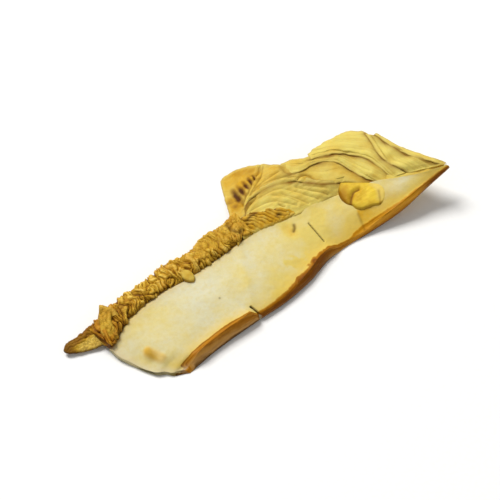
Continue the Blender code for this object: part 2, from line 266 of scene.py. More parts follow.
@dataclass
class Piece:
    """One visible piece in the making."""

    name: str
    points: np.ndarray
    faces: list[tuple[int, ...]]
    marks: Marks = field(default_factory=dict)
    sharp_degrees: float = 70.0

    def make(self, finish: bpy.types.Material) -> bpy.types.Object:
        """Turns the piece into an object that stands for the solid slice.

        Args:
            finish: The material that dresses it.

        Returns:
            The new object.
        """
        low, high = (np.array(corner) for corner in CAD_BOX)
        points = np.clip((self.points.reshape(-1, 3) + CENTRING) * MM, low, high)
        mesh = bpy.data.meshes.new(self.name)
        mesh.from_pydata(points.tolist(), [], self.faces)
        for name, values in self.marks.items():
            mark = mesh.attributes.new(name, "FLOAT", "POINT")
            mark.data.foreach_set("value", np.ascontiguousarray(values, np.float32).ravel())
        mesh.shade_smooth()
        mesh.set_sharp_from_angle(angle=math.radians(self.sharp_degrees))
        mesh.materials.append(finish)
        made = bpy.data.objects.new(self.name, mesh)
        bpy.context.scene.collection.objects.link(made)
        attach(made, BODY)
        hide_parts(NODE)
        LOG.info("%s: %d points, %d faces", self.name, len(points), len(self.faces))
        return made


def two_sided(name: str, middle: np.ndarray, thick: np.ndarray | float, marks: Marks) -> Piece:
    """Thickens a grid of points into a closed sheet.

    Args:
        name: The piece's name.
        middle: The grid halfway through the sheet.
        thick: The thickness in millimetres, the same all over or one for each point.
        marks: For each mark, its values over the grid, or ones that stretch to it.

    Returns:
        The closed sheet, its upper side first.
    """
    rows, columns = middle.shape[:2]
    normal = np.cross(np.gradient(middle, axis=0), np.gradient(middle, axis=1))
    normal /= np.linalg.norm(normal, axis=2, keepdims=True) + 1e-12
    half = np.broadcast_to(np.asarray(thick) / 2, middle.shape[:2])[..., None]
    points = np.vstack([(middle + normal * half).reshape(-1, 3), (middle - normal * half).reshape(-1, 3)])
    under = rows * columns
    upper = grid_faces(rows, columns)[:, ::-1]
    lower = grid_faces(rows, columns, start=under)
    rim = [i * columns for i in range(rows)] + [(rows - 1) * columns + j for j in range(1, columns)]
    rim += [i * columns - 1 for i in range(rows - 1, 0, -1)] + list(range(columns - 2, 0, -1))
    band = [(b, a, under + a, under + b) for a, b in zip(rim, rim[1:] + rim[:1])]
    faces = [*map(tuple, upper.tolist()), *map(tuple, lower.tolist()), *band]
    both = {
        key: np.tile(np.broadcast_to(values, (rows, columns)).ravel(), 2) for key, values in marks.items()
    }
    return Piece(name, points, faces, both)


# Finishes


def linear(code: str) -> tuple[float, float, float, float]:
    """Turns an sRGB hex colour such as #E0D3A0 into linear values.

    Args:
        code: The colour.

    Returns:
        Red, green, blue and alpha, 0 to 1.
    """
    parts = [int(code[i:i + 2], 16) / 255 for i in (1, 3, 5)]
    red, green, blue = (p / 12.92 if p <= 0.04045 else ((p + 0.055) / 1.055) ** 2.4 for p in parts)
    return red, green, blue, 1.0


def add_node(
    tree: bpy.types.NodeTree,
    kind: str,
    inputs: tuple[object, ...] | dict[str, object] = (),
    take: str | None = None,
    stops: tuple[tuple[float, str], ...] = (),
    **settings: object,
) -> Socket:
    """Adds one node with its settings and links.

    Args:
        tree: The tree it joins.
        kind: The node's type.
        inputs: A value, a hex colour or another node's output for each input in use, either in the
            node's own order or by name.
        take: The output that is wanted, or None for the first in use.
        stops: For a colour ramp, the place and hex colour of each stop.
        settings: Properties of the node.

    Returns:
        The wanted output.
    """
    node = tree.nodes.new(kind)
    for name, value in settings.items():
        setattr(node, name, value)
    if stops:
        ramp = node.color_ramp
        while len(ramp.elements) > 1:
            ramp.elements.remove(ramp.elements[-1])
        ramp.elements[0].position, ramp.elements[0].color = stops[0][0], linear(stops[0][1])
        for place, code in stops[1:]:
            ramp.elements.new(place).color = linear(code)
    in_use = [socket for socket in node.inputs if socket.enabled]
    for key, value in inputs.items() if isinstance(inputs, dict) else enumerate(inputs):
        socket = in_use[key] if isinstance(key, int) else node.inputs[key]
        if isinstance(value, bpy.types.NodeSocket):
            tree.links.new(value, socket)
        else:
            socket.default_value = linear(value) if isinstance(value, str) else value
    return node.outputs[take] if take else next(socket for socket in node.outputs if socket.enabled)


def new_finish(name: str, settings: dict[str, object]) -> tuple[bpy.types.Material, bpy.types.NodeTree]:
    """Starts a material from its surface shader.

    Args:
        name: What the material is.
        settings: Values for the shader's own inputs.

    Returns:
        The material and its node tree.
    """
    material = bpy.data.materials.new(name)
    material.use_nodes = True
    tree = material.node_tree
    shader = tree.nodes["Principled BSDF"]
    for key, value in settings.items():
        shader.inputs[key].default_value = value
    return material, tree


def wire(tree: bpy.types.NodeTree, links: dict[str, Socket]) -> None:
    """Links outputs to the surface shader's inputs.

    Args:
        tree: The material's tree.
        links: The output for each named input of the shader.
    """
    shader = tree.nodes["Principled BSDF"]
    for key, socket in links.items():
        tree.links.new(socket, shader.inputs[key])


@dataclass(frozen=True)
class DriedCutFlesh:
    """Mushroom flesh, sliced with a knife and air dried, with its thin cap skin left on."""

    # Felted threads cut across dry to a matt, cloudy cream that glows a little where it is thin.
    pale: str = "#D6D0AE"
    yellow: str = "#DAC46A"
    blotch: str = "#D0B85C"
    gold: str = "#D4A42A"
    brown: str = "#744A0A"
    dark: str = "#2E1A08"
    cloud_mm: float = 5.0
    mottle_mm: float = 0.9
    # The real threads are far finer: they are drawn as coarse as they need to show.
    thread_mm: float = 0.22
    # The skin dries to tough, glossy brown leather with streaks that run along it. From its foot
    # up, by the depth in millimetres below its top edge: sound skin, skin painted darker (worn in
    # places, painted shade towards the point), and skin painted as lit, a painted highlight where the
    # light catches it at a glancing angle. The ramps paint a dark contact shadow at the foot, and a
    # pale painted reflection just above it on the sound and worn skin.
    sound_skin: tuple[tuple[float, str], ...] = (
        (-3.1, "#382208"), (-2.85, "#553812"), (-2.6, "#765424"), (-2.3, "#BA8C50"), (-1.95, "#BC8A40"),
        (-1.5, "#A86E1A"), (-1.04, "#A46608"), (-0.75, "#BE8226"), (-0.45, "#AC7010"), (-0.15, "#94600A"),
        (0.0, "#B07C1C"), (0.12, "#D8AC44"))
    worn_and_shaded_skin: tuple[tuple[float, str], ...] = (
        (-3.1, "#2C1402"), (-2.9, "#532C08"), (-2.6, "#8B6137"), (-2.25, "#835420"), (-1.8, "#764200"),
        (-1.1, "#824800"), (-0.7, "#8B5200"), (-0.3, "#A06608"), (0.0, "#B8842A"), (0.12, "#D4A640"))
    painted_lit_skin: tuple[tuple[float, str], ...] = (
        (-3.1, "#3A1C02"), (-2.9, "#5D3204"), (-2.6, "#905A10"), (-2.2, "#AC7014"), (-1.8, "#BA7C14"),
        (-1.4, "#D8982C"), (-1.0, "#DEA030"), (-0.6, "#CC8E18"), (-0.25, "#B87A08"), (0.0, "#CC9620"),
        (0.12, "#DCAA36"))
    # The colour ramps span this far to either side of the edge.
    ramp_mm: float = 4.0
    streak: str = "#6A3C08"
    bright_streak: str = "#C68E30"
    broken: str = "#CDBE9A"
    glow_beside: str = "#DCB84A"
    streak_mm: float = 0.3
    streak_length_mm: float = 5.0
    waver_mm: float = 1.5

    def cut_face(
        self, add: Adder, marks: dict[str, Socket], place: Socket, mottle: Socket, depth: Socket,
    ) -> Socket:
        """Colours the flesh: warmer in clouds and where it is marked so, and aglow beside the skin.

        Args:
            add: Adds a node to the material.
            marks: The mesh's marks.
            place: Where a point lies.
            mottle: The noise that blotches the flesh.
            depth: How far a point lies from the skin's wavering top edge, in millimetres.

        Returns:
            The colour.
        """
        cloud = add("ShaderNodeTexNoise", (place, 1000 / self.cloud_mm, 3.0, 0.55))
        warmth = add("ShaderNodeMath", (cloud, 1.4, -0.7), operation="MULTIPLY_ADD")
        warmth = add("ShaderNodeMath", (warmth, marks["warm"]), operation="ADD", use_clamp=True)
        flesh = add("ShaderNodeMix", (warmth, self.pale, self.yellow), data_type="RGBA")
        blotched = add("ShaderNodeMapRange", (mottle, 0.42, 0.72, 0.0, 0.34))
        beside = add("ShaderNodeMapRange", (depth, 3.2, 0.0, 0.0, 0.75))
        beside = add("ShaderNodeMath", (beside, 1.4), operation="POWER")
        for share, over in ((blotched, self.blotch), (marks["gold"], self.gold), (beside, self.glow_beside)):
            flesh = add("ShaderNodeMix", (share, flesh, over), data_type="RGBA")
        return flesh

    def skin(self, add: Adder, marks: dict[str, Socket], streak: Socket, depth: Socket) -> Socket:
        """Colours the skin by its depth below the top edge, with streaks that run along it.

        Args:
            add: Adds a node to the material.
            marks: The mesh's marks.
            streak: The noise that is drawn out along the skin.
            depth: How far a point lies from the skin's wavering top edge, in millimetres.

        Returns:
            The colour.
        """
        fall = add("ShaderNodeMapRange", (depth, -self.ramp_mm, self.ramp_mm, 0.0, 1.0))
        skin, worn, lit = (
            add("ShaderNodeValToRGB", (fall,), stops=tuple(
                ((at + self.ramp_mm) / (2 * self.ramp_mm), code) for at, code in stops))
            for stops in (self.sound_skin, self.worn_and_shaded_skin, self.painted_lit_skin))
        darkened = add("ShaderNodeMapRange", (streak, 0.48, 0.72, 0.0, 0.5))
        brightened = add("ShaderNodeMapRange", (streak, 0.46, 0.26, 0.0, 0.35))
        # The worn copy is partly painted shade, and the lit copy is a painted highlight.
        for share, over in ((marks["worn"], worn), (marks["lit"], lit),
                            (darkened, self.streak), (brightened, self.bright_streak)):
            skin = add("ShaderNodeMix", (share, skin, over), data_type="RGBA")
        return skin

    def material(self) -> bpy.types.Material:
        """Builds the finish.

        Returns:
            The material. Its marks are rim (mm from the skin's top edge, less than 0 on the
            skin), along (mm), warm, gold, brown, dark, bare, worn (wear and painted shade) and
            lit (a painted highlight), each 0 to 1.
        """
        material, tree = new_finish("dried_cut_flesh", {
            "Subsurface Weight": 0.15, "Subsurface Radius": (0.0012, 0.0009, 0.0005),
            "Subsurface Scale": 1.0, "IOR": 1.45, "Specular IOR Level": 0.08})
        add = partial(add_node, tree)
        marks = {name: add("ShaderNodeAttribute", take="Fac", attribute_name=name) for name in (
            "rim", "along", "warm", "gold", "brown", "dark", "bare", "worn", "lit")}
        place = add("ShaderNodeTexCoord", take="Object")
        mottle = add("ShaderNodeTexNoise", (place, 1000 / self.mottle_mm, 4.0, 0.6))
        thread = add("ShaderNodeTexNoise", (place, 1000 / self.thread_mm, 3.0, 0.65))
        # Streaks run along the skin, and its top edge wavers.
        line = add("ShaderNodeCombineXYZ", (marks["along"], marks["rim"]))
        stretch = (1 / self.streak_length_mm, 1 / self.streak_mm, 1.0)
        drawn = add("ShaderNodeVectorMath", (line, stretch), operation="MULTIPLY")
        streak = add("ShaderNodeTexNoise", (drawn, 1.0, 3.0, 0.6))
        waver = add("ShaderNodeTexNoise", (place, 1000 / self.waver_mm, 3.0, 0.6))
        shift = add("ShaderNodeMath", (waver, 0.7, -0.35), operation="MULTIPLY_ADD")
        depth = add("ShaderNodeMath", (marks["rim"], shift), operation="ADD")
        flesh = self.cut_face(add, marks, place, mottle, depth)
        skin = self.skin(add, marks, streak, depth)
        on_skin = add("ShaderNodeMapRange", (depth, 0.22, -0.05, 0.0, 1.0))
        colour = add("ShaderNodeMix", (on_skin, flesh, skin), data_type="RGBA")
        for mark, code in (("bare", self.broken), ("brown", self.brown), ("dark", self.dark)):
            colour = add("ShaderNodeMix", (marks[mark], colour, code), data_type="RGBA")
        gloss = add("ShaderNodeMapRange", (on_skin, 0.0, 1.0, 0.74, 0.44))
        relief = add("ShaderNodeMath", (thread, mottle), operation="ADD")
        relief = add("ShaderNodeMix", (on_skin, relief, streak), data_type="FLOAT")
        bump = add("ShaderNodeBump", {"Strength": 0.4, "Distance": 0.00012, "Height": relief})
        wire(tree, {"Base Color": colour, "Roughness": gloss, "Normal": bump})
        return material


@dataclass(frozen=True)
class DriedLongGill:
    """Long gills, dried flat against each other into thin parchment."""

    name: str = "dried_long_gill"
    # Thin plates dry to smooth satin parchment. A painted highlight runs along the rolled rim, and
    # painted shade goes brown and dark brown in the grooves, under the leaf above and in the slots.
    pale: str = "#DCC966"
    gold: str = "#CC9C22"
    rim: str = "#E2CC6C"
    vein: str = "#B0862A"
    groove_shade: str = "#80540C"
    dark: str = "#4C2400"
    cloud_mm: float = 3.0
    vein_mm: float = 0.7
    vein_length_mm: float = 9.0
    # The real tooth is far finer: it is drawn as coarse as it needs to show.
    tooth_mm: float = 0.2

    def material(self) -> bpy.types.Material:
        """Builds the finish.

        Returns:
            The material. Its marks are along and across (mm), edge (mm from the rim), tone,
            groove_shade and dark, each 0 to 1, the last two painted shade.
        """
        material, tree = new_finish(self.name, {
            "Subsurface Weight": 0.15, "Subsurface Radius": (0.0010, 0.0008, 0.0003),
            "Subsurface Scale": 1.0, "IOR": 1.45, "Specular IOR Level": 0.15})
        add = partial(add_node, tree)
        marks = {name: add("ShaderNodeAttribute", take="Fac", attribute_name=name) for name in (
            "along", "across", "edge", "tone", "groove_shade", "dark")}
        place = add("ShaderNodeTexCoord", take="Object")
        cloud = add("ShaderNodeTexNoise", (place, 1000 / self.cloud_mm, 4.0, 0.6))
        tooth = add("ShaderNodeTexNoise", (place, 1000 / self.tooth_mm, 2.0, 0.6))
        # Veins run along the leaf.
        line = add("ShaderNodeCombineXYZ", (marks["along"], marks["across"]))
        stretch = (1 / self.vein_length_mm, 1 / self.vein_mm, 1.0)
        drawn = add("ShaderNodeVectorMath", (line, stretch), operation="MULTIPLY")
        vein = add("ShaderNodeTexNoise", (drawn, 1.0, 3.0, 0.6))
        tone = add("ShaderNodeMath", (cloud, 1.0, -0.5), operation="MULTIPLY_ADD")
        tone = add("ShaderNodeMath", (tone, marks["tone"]), operation="ADD", use_clamp=True)
        colour = add("ShaderNodeMix", (tone, self.pale, self.gold), data_type="RGBA")
        veined = add("ShaderNodeMapRange", (vein, 0.46, 0.74, 0.0, 0.4))
        # A painted highlight along the rim.
        rim_highlight = add("ShaderNodeMapRange", (marks["edge"], 0.75, 0.2, 0.0, 0.6))
        for share, over in ((veined, self.vein), (rim_highlight, self.rim),
                            (marks["groove_shade"], self.groove_shade), (marks["dark"], self.dark)):
            colour = add("ShaderNodeMix", (share, colour, over), data_type="RGBA")
        relief = add("ShaderNodeMath", (vein, 0.8, tooth), operation="MULTIPLY_ADD")
        bump = add("ShaderNodeBump", {"Strength": 0.45, "Distance": 0.00014, "Height": relief})
        gloss = add("ShaderNodeMapRange", (cloud, 0.3, 0.7, 0.48, 0.66))
        wire(tree, {"Base Color": colour, "Roughness": gloss, "Normal": bump})
        return material


@dataclass(frozen=True)
class DriedShortGill:
    """Short gills, shrunk while drying into a crisp, brittle ruffle."""

    # Crisp and slightly waxy. The colours run by height as painted light: painted shade takes the
    # creases down to dark ochre, and a painted highlight lightens the crests.
    crevice_shade: str = "#5A3A08"
    deep_shade: str = "#8E6010"
    body: str = "#B88C20"
    crest: str = "#CFA636"
    tip: str = "#E0BC54"
    blush: str = "#DCAE50"
    blush_mm: float = 2.2
    crinkle_mm: float = 1.1
    # The real grit is far finer: it is drawn as coarse as it needs to show.
    grit_mm: float = 0.25

    def material(self) -> bpy.types.Material:
        """Builds the finish.

        Returns:
            The material. Its marks are height (0 in a crease, 1 on a crest, for the painted shade
            and highlight), tone and dark (painted shade, and darker parts).
        """
        material, tree = new_finish("dried_short_gill", {
            "Subsurface Weight": 0.1, "Subsurface Radius": (0.0008, 0.0006, 0.0002),
            "Subsurface Scale": 1.0, "IOR": 1.45, "Specular IOR Level": 0.15})
        add = partial(add_node, tree)
        marks = {name: add("ShaderNodeAttribute", take="Fac", attribute_name=name) for name in (
            "height", "tone", "dark")}
        place = add("ShaderNodeTexCoord", take="Object")
        blush = add("ShaderNodeTexNoise", (place, 1000 / self.blush_mm, 4.0, 0.6))
        grit = add("ShaderNodeTexNoise", (place, 1000 / self.grit_mm, 3.0, 0.6))
        level = add("ShaderNodeMath", (grit, 0.2, -0.1), operation="MULTIPLY_ADD")
        level = add("ShaderNodeMath", (level, marks["height"]), operation="ADD", use_clamp=True)
        colour = add("ShaderNodeValToRGB", (level,), stops=(
            (0.02, self.crevice_shade), (0.22, self.deep_shade), (0.45, self.body), (0.75, self.crest),
            (0.98, self.tip)))
        warmed = add("ShaderNodeMath", (blush, 1.4, -0.7), operation="MULTIPLY_ADD")
        warmed = add("ShaderNodeMath", (warmed, marks["tone"]), operation="ADD", use_clamp=True)
        colour = add("ShaderNodeMix", (warmed, colour, self.blush), data_type="RGBA", blend_type="MULTIPLY")
        # Fine crinkles run where a smooth noise crosses its middle, darkened with painted shade.
        crinkle = add("ShaderNodeTexNoise", (place, 1000 / self.crinkle_mm, 2.0, 0.5))
        crinkle = add("ShaderNodeMath", (crinkle, 0.5), operation="SUBTRACT")
        crinkle = add("ShaderNodeMath", (crinkle,), operation="ABSOLUTE")
        line = add("ShaderNodeMapRange", (crinkle, 0.035, 0.0, 0.0, 0.5))
        for share, over in ((line, self.deep_shade), (marks["dark"], self.crevice_shade)):
            colour = add("ShaderNodeMix", (share, colour, over), data_type="RGBA")
        relief = add("ShaderNodeMath", (line, -1.6, grit), operation="MULTIPLY_ADD")
        bump = add("ShaderNodeBump", {"Strength": 0.5, "Distance": 0.00015, "Height": relief})
        gloss = add("ShaderNodeMapRange", (blush, 0.3, 0.7, 0.42, 0.62))
        wire(tree, {"Base Color": colour, "Roughness": gloss, "Normal": bump})
        return material


@dataclass(frozen=True)
class CoatedBoard:
    """Smooth coated white board, laid flat as the floor."""

    # The coating is even and matt, with a faint tooth that only shows close up.
    white: str = "#F6F5F3"
    shade: str = "#F1F0EC"
    # The real tooth is far finer: it is drawn as coarse as it needs to show.
    tooth_mm: float = 0.8

    def material(self) -> bpy.types.Material:
        """Builds the finish.

        Returns:
            The material, which reads no marks.
        """
        material, tree = new_finish("coated_board", {"Roughness": 0.85, "IOR": 1.45})
        add = partial(add_node, tree)
        place = add("ShaderNodeTexCoord", take="Object")
        tooth = add("ShaderNodeTexNoise", (place, 1000 / self.tooth_mm, 2.0, 0.5))
        colour = add("ShaderNodeMix", (tooth, self.white, self.shade), data_type="RGBA")
        bump = add("ShaderNodeBump", {"Strength": 0.05, "Distance": 0.0001, "Height": tooth})
        wire(tree, {"Base Color": colour, "Normal": bump})
        return material


# The slice


GILL_ROOT = Line((
    (-34.8, -6.5, 1.2), (-28.0, -2.8, 1.4), (-21.0, -1.1, 1.4), (-12.0, -0.1, 1.3),
    (-5.0, 1.2, 1.1), (2.0, 2.6, 1.0), (9.0, 2.6, 1.0), (16.0, 2.9, 1.2), (22.0, 2.0, 1.7),
    (29.0, 0.3, 3.0), (34.0, -2.4, 4.4), (38.5, -4.7, 6.0), (42.4, -5.7, 7.5),
))


@dataclass
class FleshSlab:
    """The flesh, with the cap's skin along its lower right edge."""

    skin_foot: Line = Line((
        (-23.5, -18.8, -0.20), (-16.5, -16.8, -0.05), (-6.0, -15.0, 0.4), (1.0, -13.9, 0.35),
        (7.5, -11.9, 0.1), (14.0, -9.0, -0.30), (19.0, -7.9, -0.30), (25.0, -7.6, 0.5),
        (31.5, -7.5, 2.4), (37.5, -6.7, 4.8), (43.0, -6.2, 7.3),
    ))
    cut_end: Line = Line((
        (-23.5, -18.8, -0.20), (-24.9, -18.2, -0.1), (-26.4, -17.9, 0.1), (-27.8, -16.7, 0.3),
        (-29.2, -16.2, 0.4), (-30.6, -14.7, 0.35), (-32.6, -11.6, 0.4), (-34.2, -9.0, 0.6),
        (-34.8, -6.5, 0.9),
    ))
    # How high the skin stands, as x and height: it drops at the crack and again before the pad.
    skin_high: tuple[Spot, ...] = (
        (-6.4, 3.0), (-5.4, 1.4), (1.0, 1.4), (7.0, 2.2), (12.0, 2.7), (15.0, 2.5), (17.0, 1.3),
        (24.0, 1.2), (28.0, 1.8), (33.0, 1.9), (38.0, 1.4), (43.0, 1.0))
    flesh_thick: float = 2.0
    cut_end_thick: float = 0.9
    tip_thick: float = 1.0
    skin_slope: float = 0.4
    skin_bulge: float = 0.12
    skin_reach: float = 2.4
    under_arch: float = 0.55
    stations: int = 430
    upper_steps: int = 96
    skin_steps: int = 18
    lower_steps: int = 34
    end_steps: int = 41
    marks_seed: int = 3
    relief_seed: int = 7
    # How far the rolled edge of the skin reaches over the cut face, as x and millimetres.
    rolled_edge: tuple[Spot, ...] = (
        (-23.6, 0.6), (-23.2, 1.6), (-22.6, 2.1), (-21.8, 2.0), (-20.8, 1.8), (-19.5, 1.6), (-17.0, 1.3),
        (-12.0, 1.1), (-8.0, 0.5), (-6.2, 0.4), (-5.2, 0.4), (-2.0, 0.6), (3.0, 0.6), (8.0, 0.6),
        (12.0, 0.65), (17.0, 0.5), (19.4, 0.15), (21.0, 0.7), (23.5, 1.2), (27.0, 0.75), (31.0, 0.4),
        (35.0, 0.15), (38.0, 0.1), (42.0, 0.15))
    # The wall below the edge is drawn as if it were this high all along, in millimetres.
    wall_mm: float = 3.0
    # Marks on the cut face, each a short line in the flesh.
    pit: Line = Line(((10.95, 0.1), (10.75, -0.5), (10.2, -1.1)))
    halo: Line = Line(((9.4, 0.0), (9.7, -1.5)))
    slit: Line = Line(((13.7, -0.9), (14.0, -3.2), (14.4, -5.8)))
    fold: Line = Line(((-1.0, 2.0), (-3.4, -5.0), (-6.4, -13.0)))
    dent: Line = Line(((-28.9, -11.4), (-28.1, -12.7), (-27.3, -14.0)))
    crack: Line = Line(((-6.2, -12.5), (-5.8, -13.3), (-5.4, -14.3), (-5.2, -15.4)))
    speck: Spot = (-10.8, -8.1)
    scuff: Spot = (7.6, -7.4)
    brown_spot: Spot = (-28.9, -12.6)
    bloom: Spot = (33.6, -2.4)
    # The slanting line where the pad ends, as the x of its point at y = -6 and its slant.
    pad_end: Spot = (22.9, 0.1)

    def section(self, along: float, foot: np.ndarray, root: np.ndarray, pull: np.ndarray) -> np.ndarray:
        """Draws the ring round the flesh at one station.

        Args:
            along: How far the station is from the cut end, 0 to 1.
            foot: The foot of the skin there.
            root: Where the gills grow out there.
            pull: How far the cut end's wavy outline lies from a straight one.

        Returns:
            The points of the lower face, the skin and the upper face in turn.
        """
        wide = np.linalg.norm((root - foot)[:2])
        inward = (root - foot)[:2] / wide

        def level(across: np.ndarray) -> np.ndarray:
            """Finds points of the lower face.

            Args:
                across: How far each lies from the foot of the skin to the gills, 0 to 1.

            Returns:
                The points.
            """
            under = foot + (root - foot) * across[:, None]
            under[:, 2] = foot[2] + (root - foot)[2] * across**1.6
            steps = np.linspace(0, 1, len(pull))
            for axis in range(3):
                under[:, axis] += np.interp(across, steps, pull[:, axis]) * (1 - ease(along / 0.22))
            arch = np.sin(math.pi * across) ** 2 * ease(along / 0.1) * ease((1 - along) / 0.2)
            under[:, 2] += self.under_arch * arch
            return under

        skin_high = np.interp(foot[0], *zip(*self.skin_high))
        thick = self.tip_thick + (self.flesh_thick - self.tip_thick) * ease((1 - along) / 0.35)
        across = np.linspace(0, 1, self.upper_steps) ** 1.1
        upper = level(across)
        full = thick + (skin_high - thick) * np.exp(-across * wide / self.skin_reach)
        upper[:, 2] += self.cut_end_thick + (full - self.cut_end_thick) * ease(along / 0.07)
        slope = min(self.skin_slope * skin_high, 0.3 * wide)
        upper[:, :2] += inward * slope * (1 - across[:, None]) ** 3
        lower = level(np.linspace(1, 0, self.lower_steps))
        climb = np.linspace(0, 1, self.skin_steps + 2)[1:-1, None]
        skin = lower[-1] + (upper[0] - lower[-1]) * climb
        skin[:, :2] -= inward * self.skin_bulge * skin_high * np.sin(math.pi * climb)
        return np.vstack([lower, skin, upper])

    def rings(self) -> np.ndarray:
        """Draws all rings, from the cut end to the point.

        Returns:
            The rings' points.
        """
        places = np.linspace(0, 1, self.stations) ** 1.03
        feet, roots = self.skin_foot.at(places), GILL_ROOT.at(places)
        shares = np.linspace(0, 1, self.end_steps)
        pull = self.cut_end.at(shares) - between(feet[:1], roots[:1], shares)[0]
        return np.array([self.section(u, f, r, pull) for u, f, r in zip(places, feet, roots)])

    def from_edge(self, rings: np.ndarray) -> np.ndarray:
        """Measures how far points lie from the rolled top edge of the skin.

        Args:
            rings: The rings before any fine relief.

        Returns:
            The distance of each point in millimetres, less than 0 on the skin.
        """
        low, top = self.lower_steps, self.lower_steps + self.skin_steps
        edge, foot = rings[:, top], rings[:, low - 1]
        rolled = np.interp(edge[:, 0], *zip(*self.rolled_edge))[:, None]
        rim = np.linalg.norm(rings - edge[:, None], axis=2) - rolled
        down = np.linspace(1, 0, self.skin_steps + 2)[1:-1]
        rim[:, low:top] = -rolled - (self.wall_mm - rolled) * down
        rim[:, :low] = np.linalg.norm(rings - foot[:, None], axis=2)[:, :low] - self.wall_mm
        return rim

    def marks(self, rings: np.ndarray) -> Marks:
        """Works out where the finish changes.

        Args:
            rings: The rings before any fine relief.

        Returns:
            The marks that the finish reads, one value for each point.
        """
        grain = Grain(self.marks_seed)
        top = self.lower_steps + self.skin_steps
        x, y = rings[..., 0], rings[..., 1]
        rim = self.from_edge(rings)
        upper = np.zeros(rings.shape[:2])
        upper[:, top:] = 1.0
        cloud, patch = grain.at(rings, 6.0, 2), grain.at(rings, 1.6, 3)
        pit, slit, halo, dent, crack, fold = (line.distance(rings) for line in (
            self.pit, self.slit, self.halo, self.dent, self.crack, self.fold))
        brown_spot, speck, bloom = (np.linalg.norm(rings[..., :2] - spot, axis=-1) for spot in (
            self.brown_spot, self.speck, self.bloom))
        scuff = dip(np.linalg.norm((rings[..., :2] - self.scuff) / (3.2, 1.5), axis=-1), 1.0)
        scuff *= ease(0.55 + 1.3 * patch)
        past_pad = x - self.pad_end[0] - self.pad_end[1] * (y + 6)
        beside_pad = ease(past_pad / 0.5) * dip(np.maximum(x - 24.3, 0), 3.4) * ease((-2.4 - y) / 1.4)
        seam = dip(past_pad - 0.2, 0.3) * ease((-3.4 - y) / 0.6)
        climbing = dip(np.maximum(np.abs(x - 9.0) - 3.4, 0), 1.2) * upper
        climbing = climbing * (0.35 + 1.1 * grain.at(rings, 2.2, 2))
        point = ease((x - 35.5) / 3.5)
        first = np.arange(self.stations)[:, None]
        crack = dip(crack, 0.2)
        root = np.linalg.norm(rings - rings[:, -1:], axis=2)
        # Painted shade: the flesh beside the gill root is painted golden brown where the gills shade it.
        shade_beside_gills = upper * np.exp(-root / 0.8) * ease((19.0 - x) / 4.0)
        shade_beside_gills = shade_beside_gills * (1 - 0.6 * ease((x - 1.0) / 1.5))
        near_skin = np.exp(-np.maximum(rim, 0) / 3.6) * upper
        warm = (
            0.12 + 0.3 * ease((x + 8) / 10) + 0.2 * ease((x - 4) / 14) + 0.2 * ease((-21 - x) / 9)
            + 0.3 * cloud + 0.2 * dip(fold, 1.1) * (0.6 + 0.8 * patch) - 0.6 * dip(bloom, 3.0) + 0.9 * scuff
            + 0.8 * dip(halo, 1.1) + near_skin * (0.55 + 0.15 * ease((x - 8) / 6))
        )
        gold = (
            0.8 * beside_pad * (0.85 + 0.5 * patch) + 0.45 * dip(halo, 0.8) * (0.8 + 0.9 * patch)
            + 0.85 * ease(1.4 - dent) * (0.6 + 0.4 * ease((-27.6 - x) / 1.2)) + 0.12 * scuff
            + 0.35 * near_skin * ease((x - 14) / 5) * (1 - 0.8 * ease((x - 30) / 4))
            + 0.15 * point + 0.65 * shade_beside_gills
        )
        brown = upper * (0.55 * dip(pit, 0.4) + 0.4 * seam + 0.25 * shade_beside_gills + 0.4 * dip(brown_spot, 1.0))
        dark = upper * (0.85 * dip(slit, 0.12) + 0.4 * dip(pit, 0.18) + 0.7 * dip(speck, 0.2))
        marks = {
            "warm": warm, "gold": upper * gold, "brown": brown + 0.15 * dip(first, 1.2),
            "dark": dark + 0.9 * crack * ease((rim + 0.8) / 0.4),
            "bare": crack * ease((-1.0 - rim) / 0.4) * 1.3 + 0.6 * upper * dip(first, 7.0),
            # Skin painted darker: worn right of the crack, painted shade where it lies in shadow and towards
            # the point.
            "worn": ease((x + 6.2) / 0.8) * (1 - ease((x - 11.5) / 5.0)) + ease((x - 36.0) / 3.0),
            # Skin painted as lit: a painted highlight where the light strikes it at a glancing angle.
            "lit": ease((x - 17.5) / 4.0) * (1 - ease((x - 34.5) / 4.0)),
        }
        marks = {name: np.clip(values, 0, 1) for name, values in marks.items()}
        # The skin climbs over the edge here and there, and draws back near the point.
        climbed = -np.clip(climbing, 0, 1) * np.exp(-np.maximum(rim, 0) / 1.6)
        drawn_back = 1.3 * upper * ease((x - 30) / 4) * ease((rim - 0.2) / 1.2)
        along = np.broadcast_to(travelled(rings[:, top])[:, None], rim.shape)
        return marks | {"rim": rim + climbed + drawn_back, "along": along}

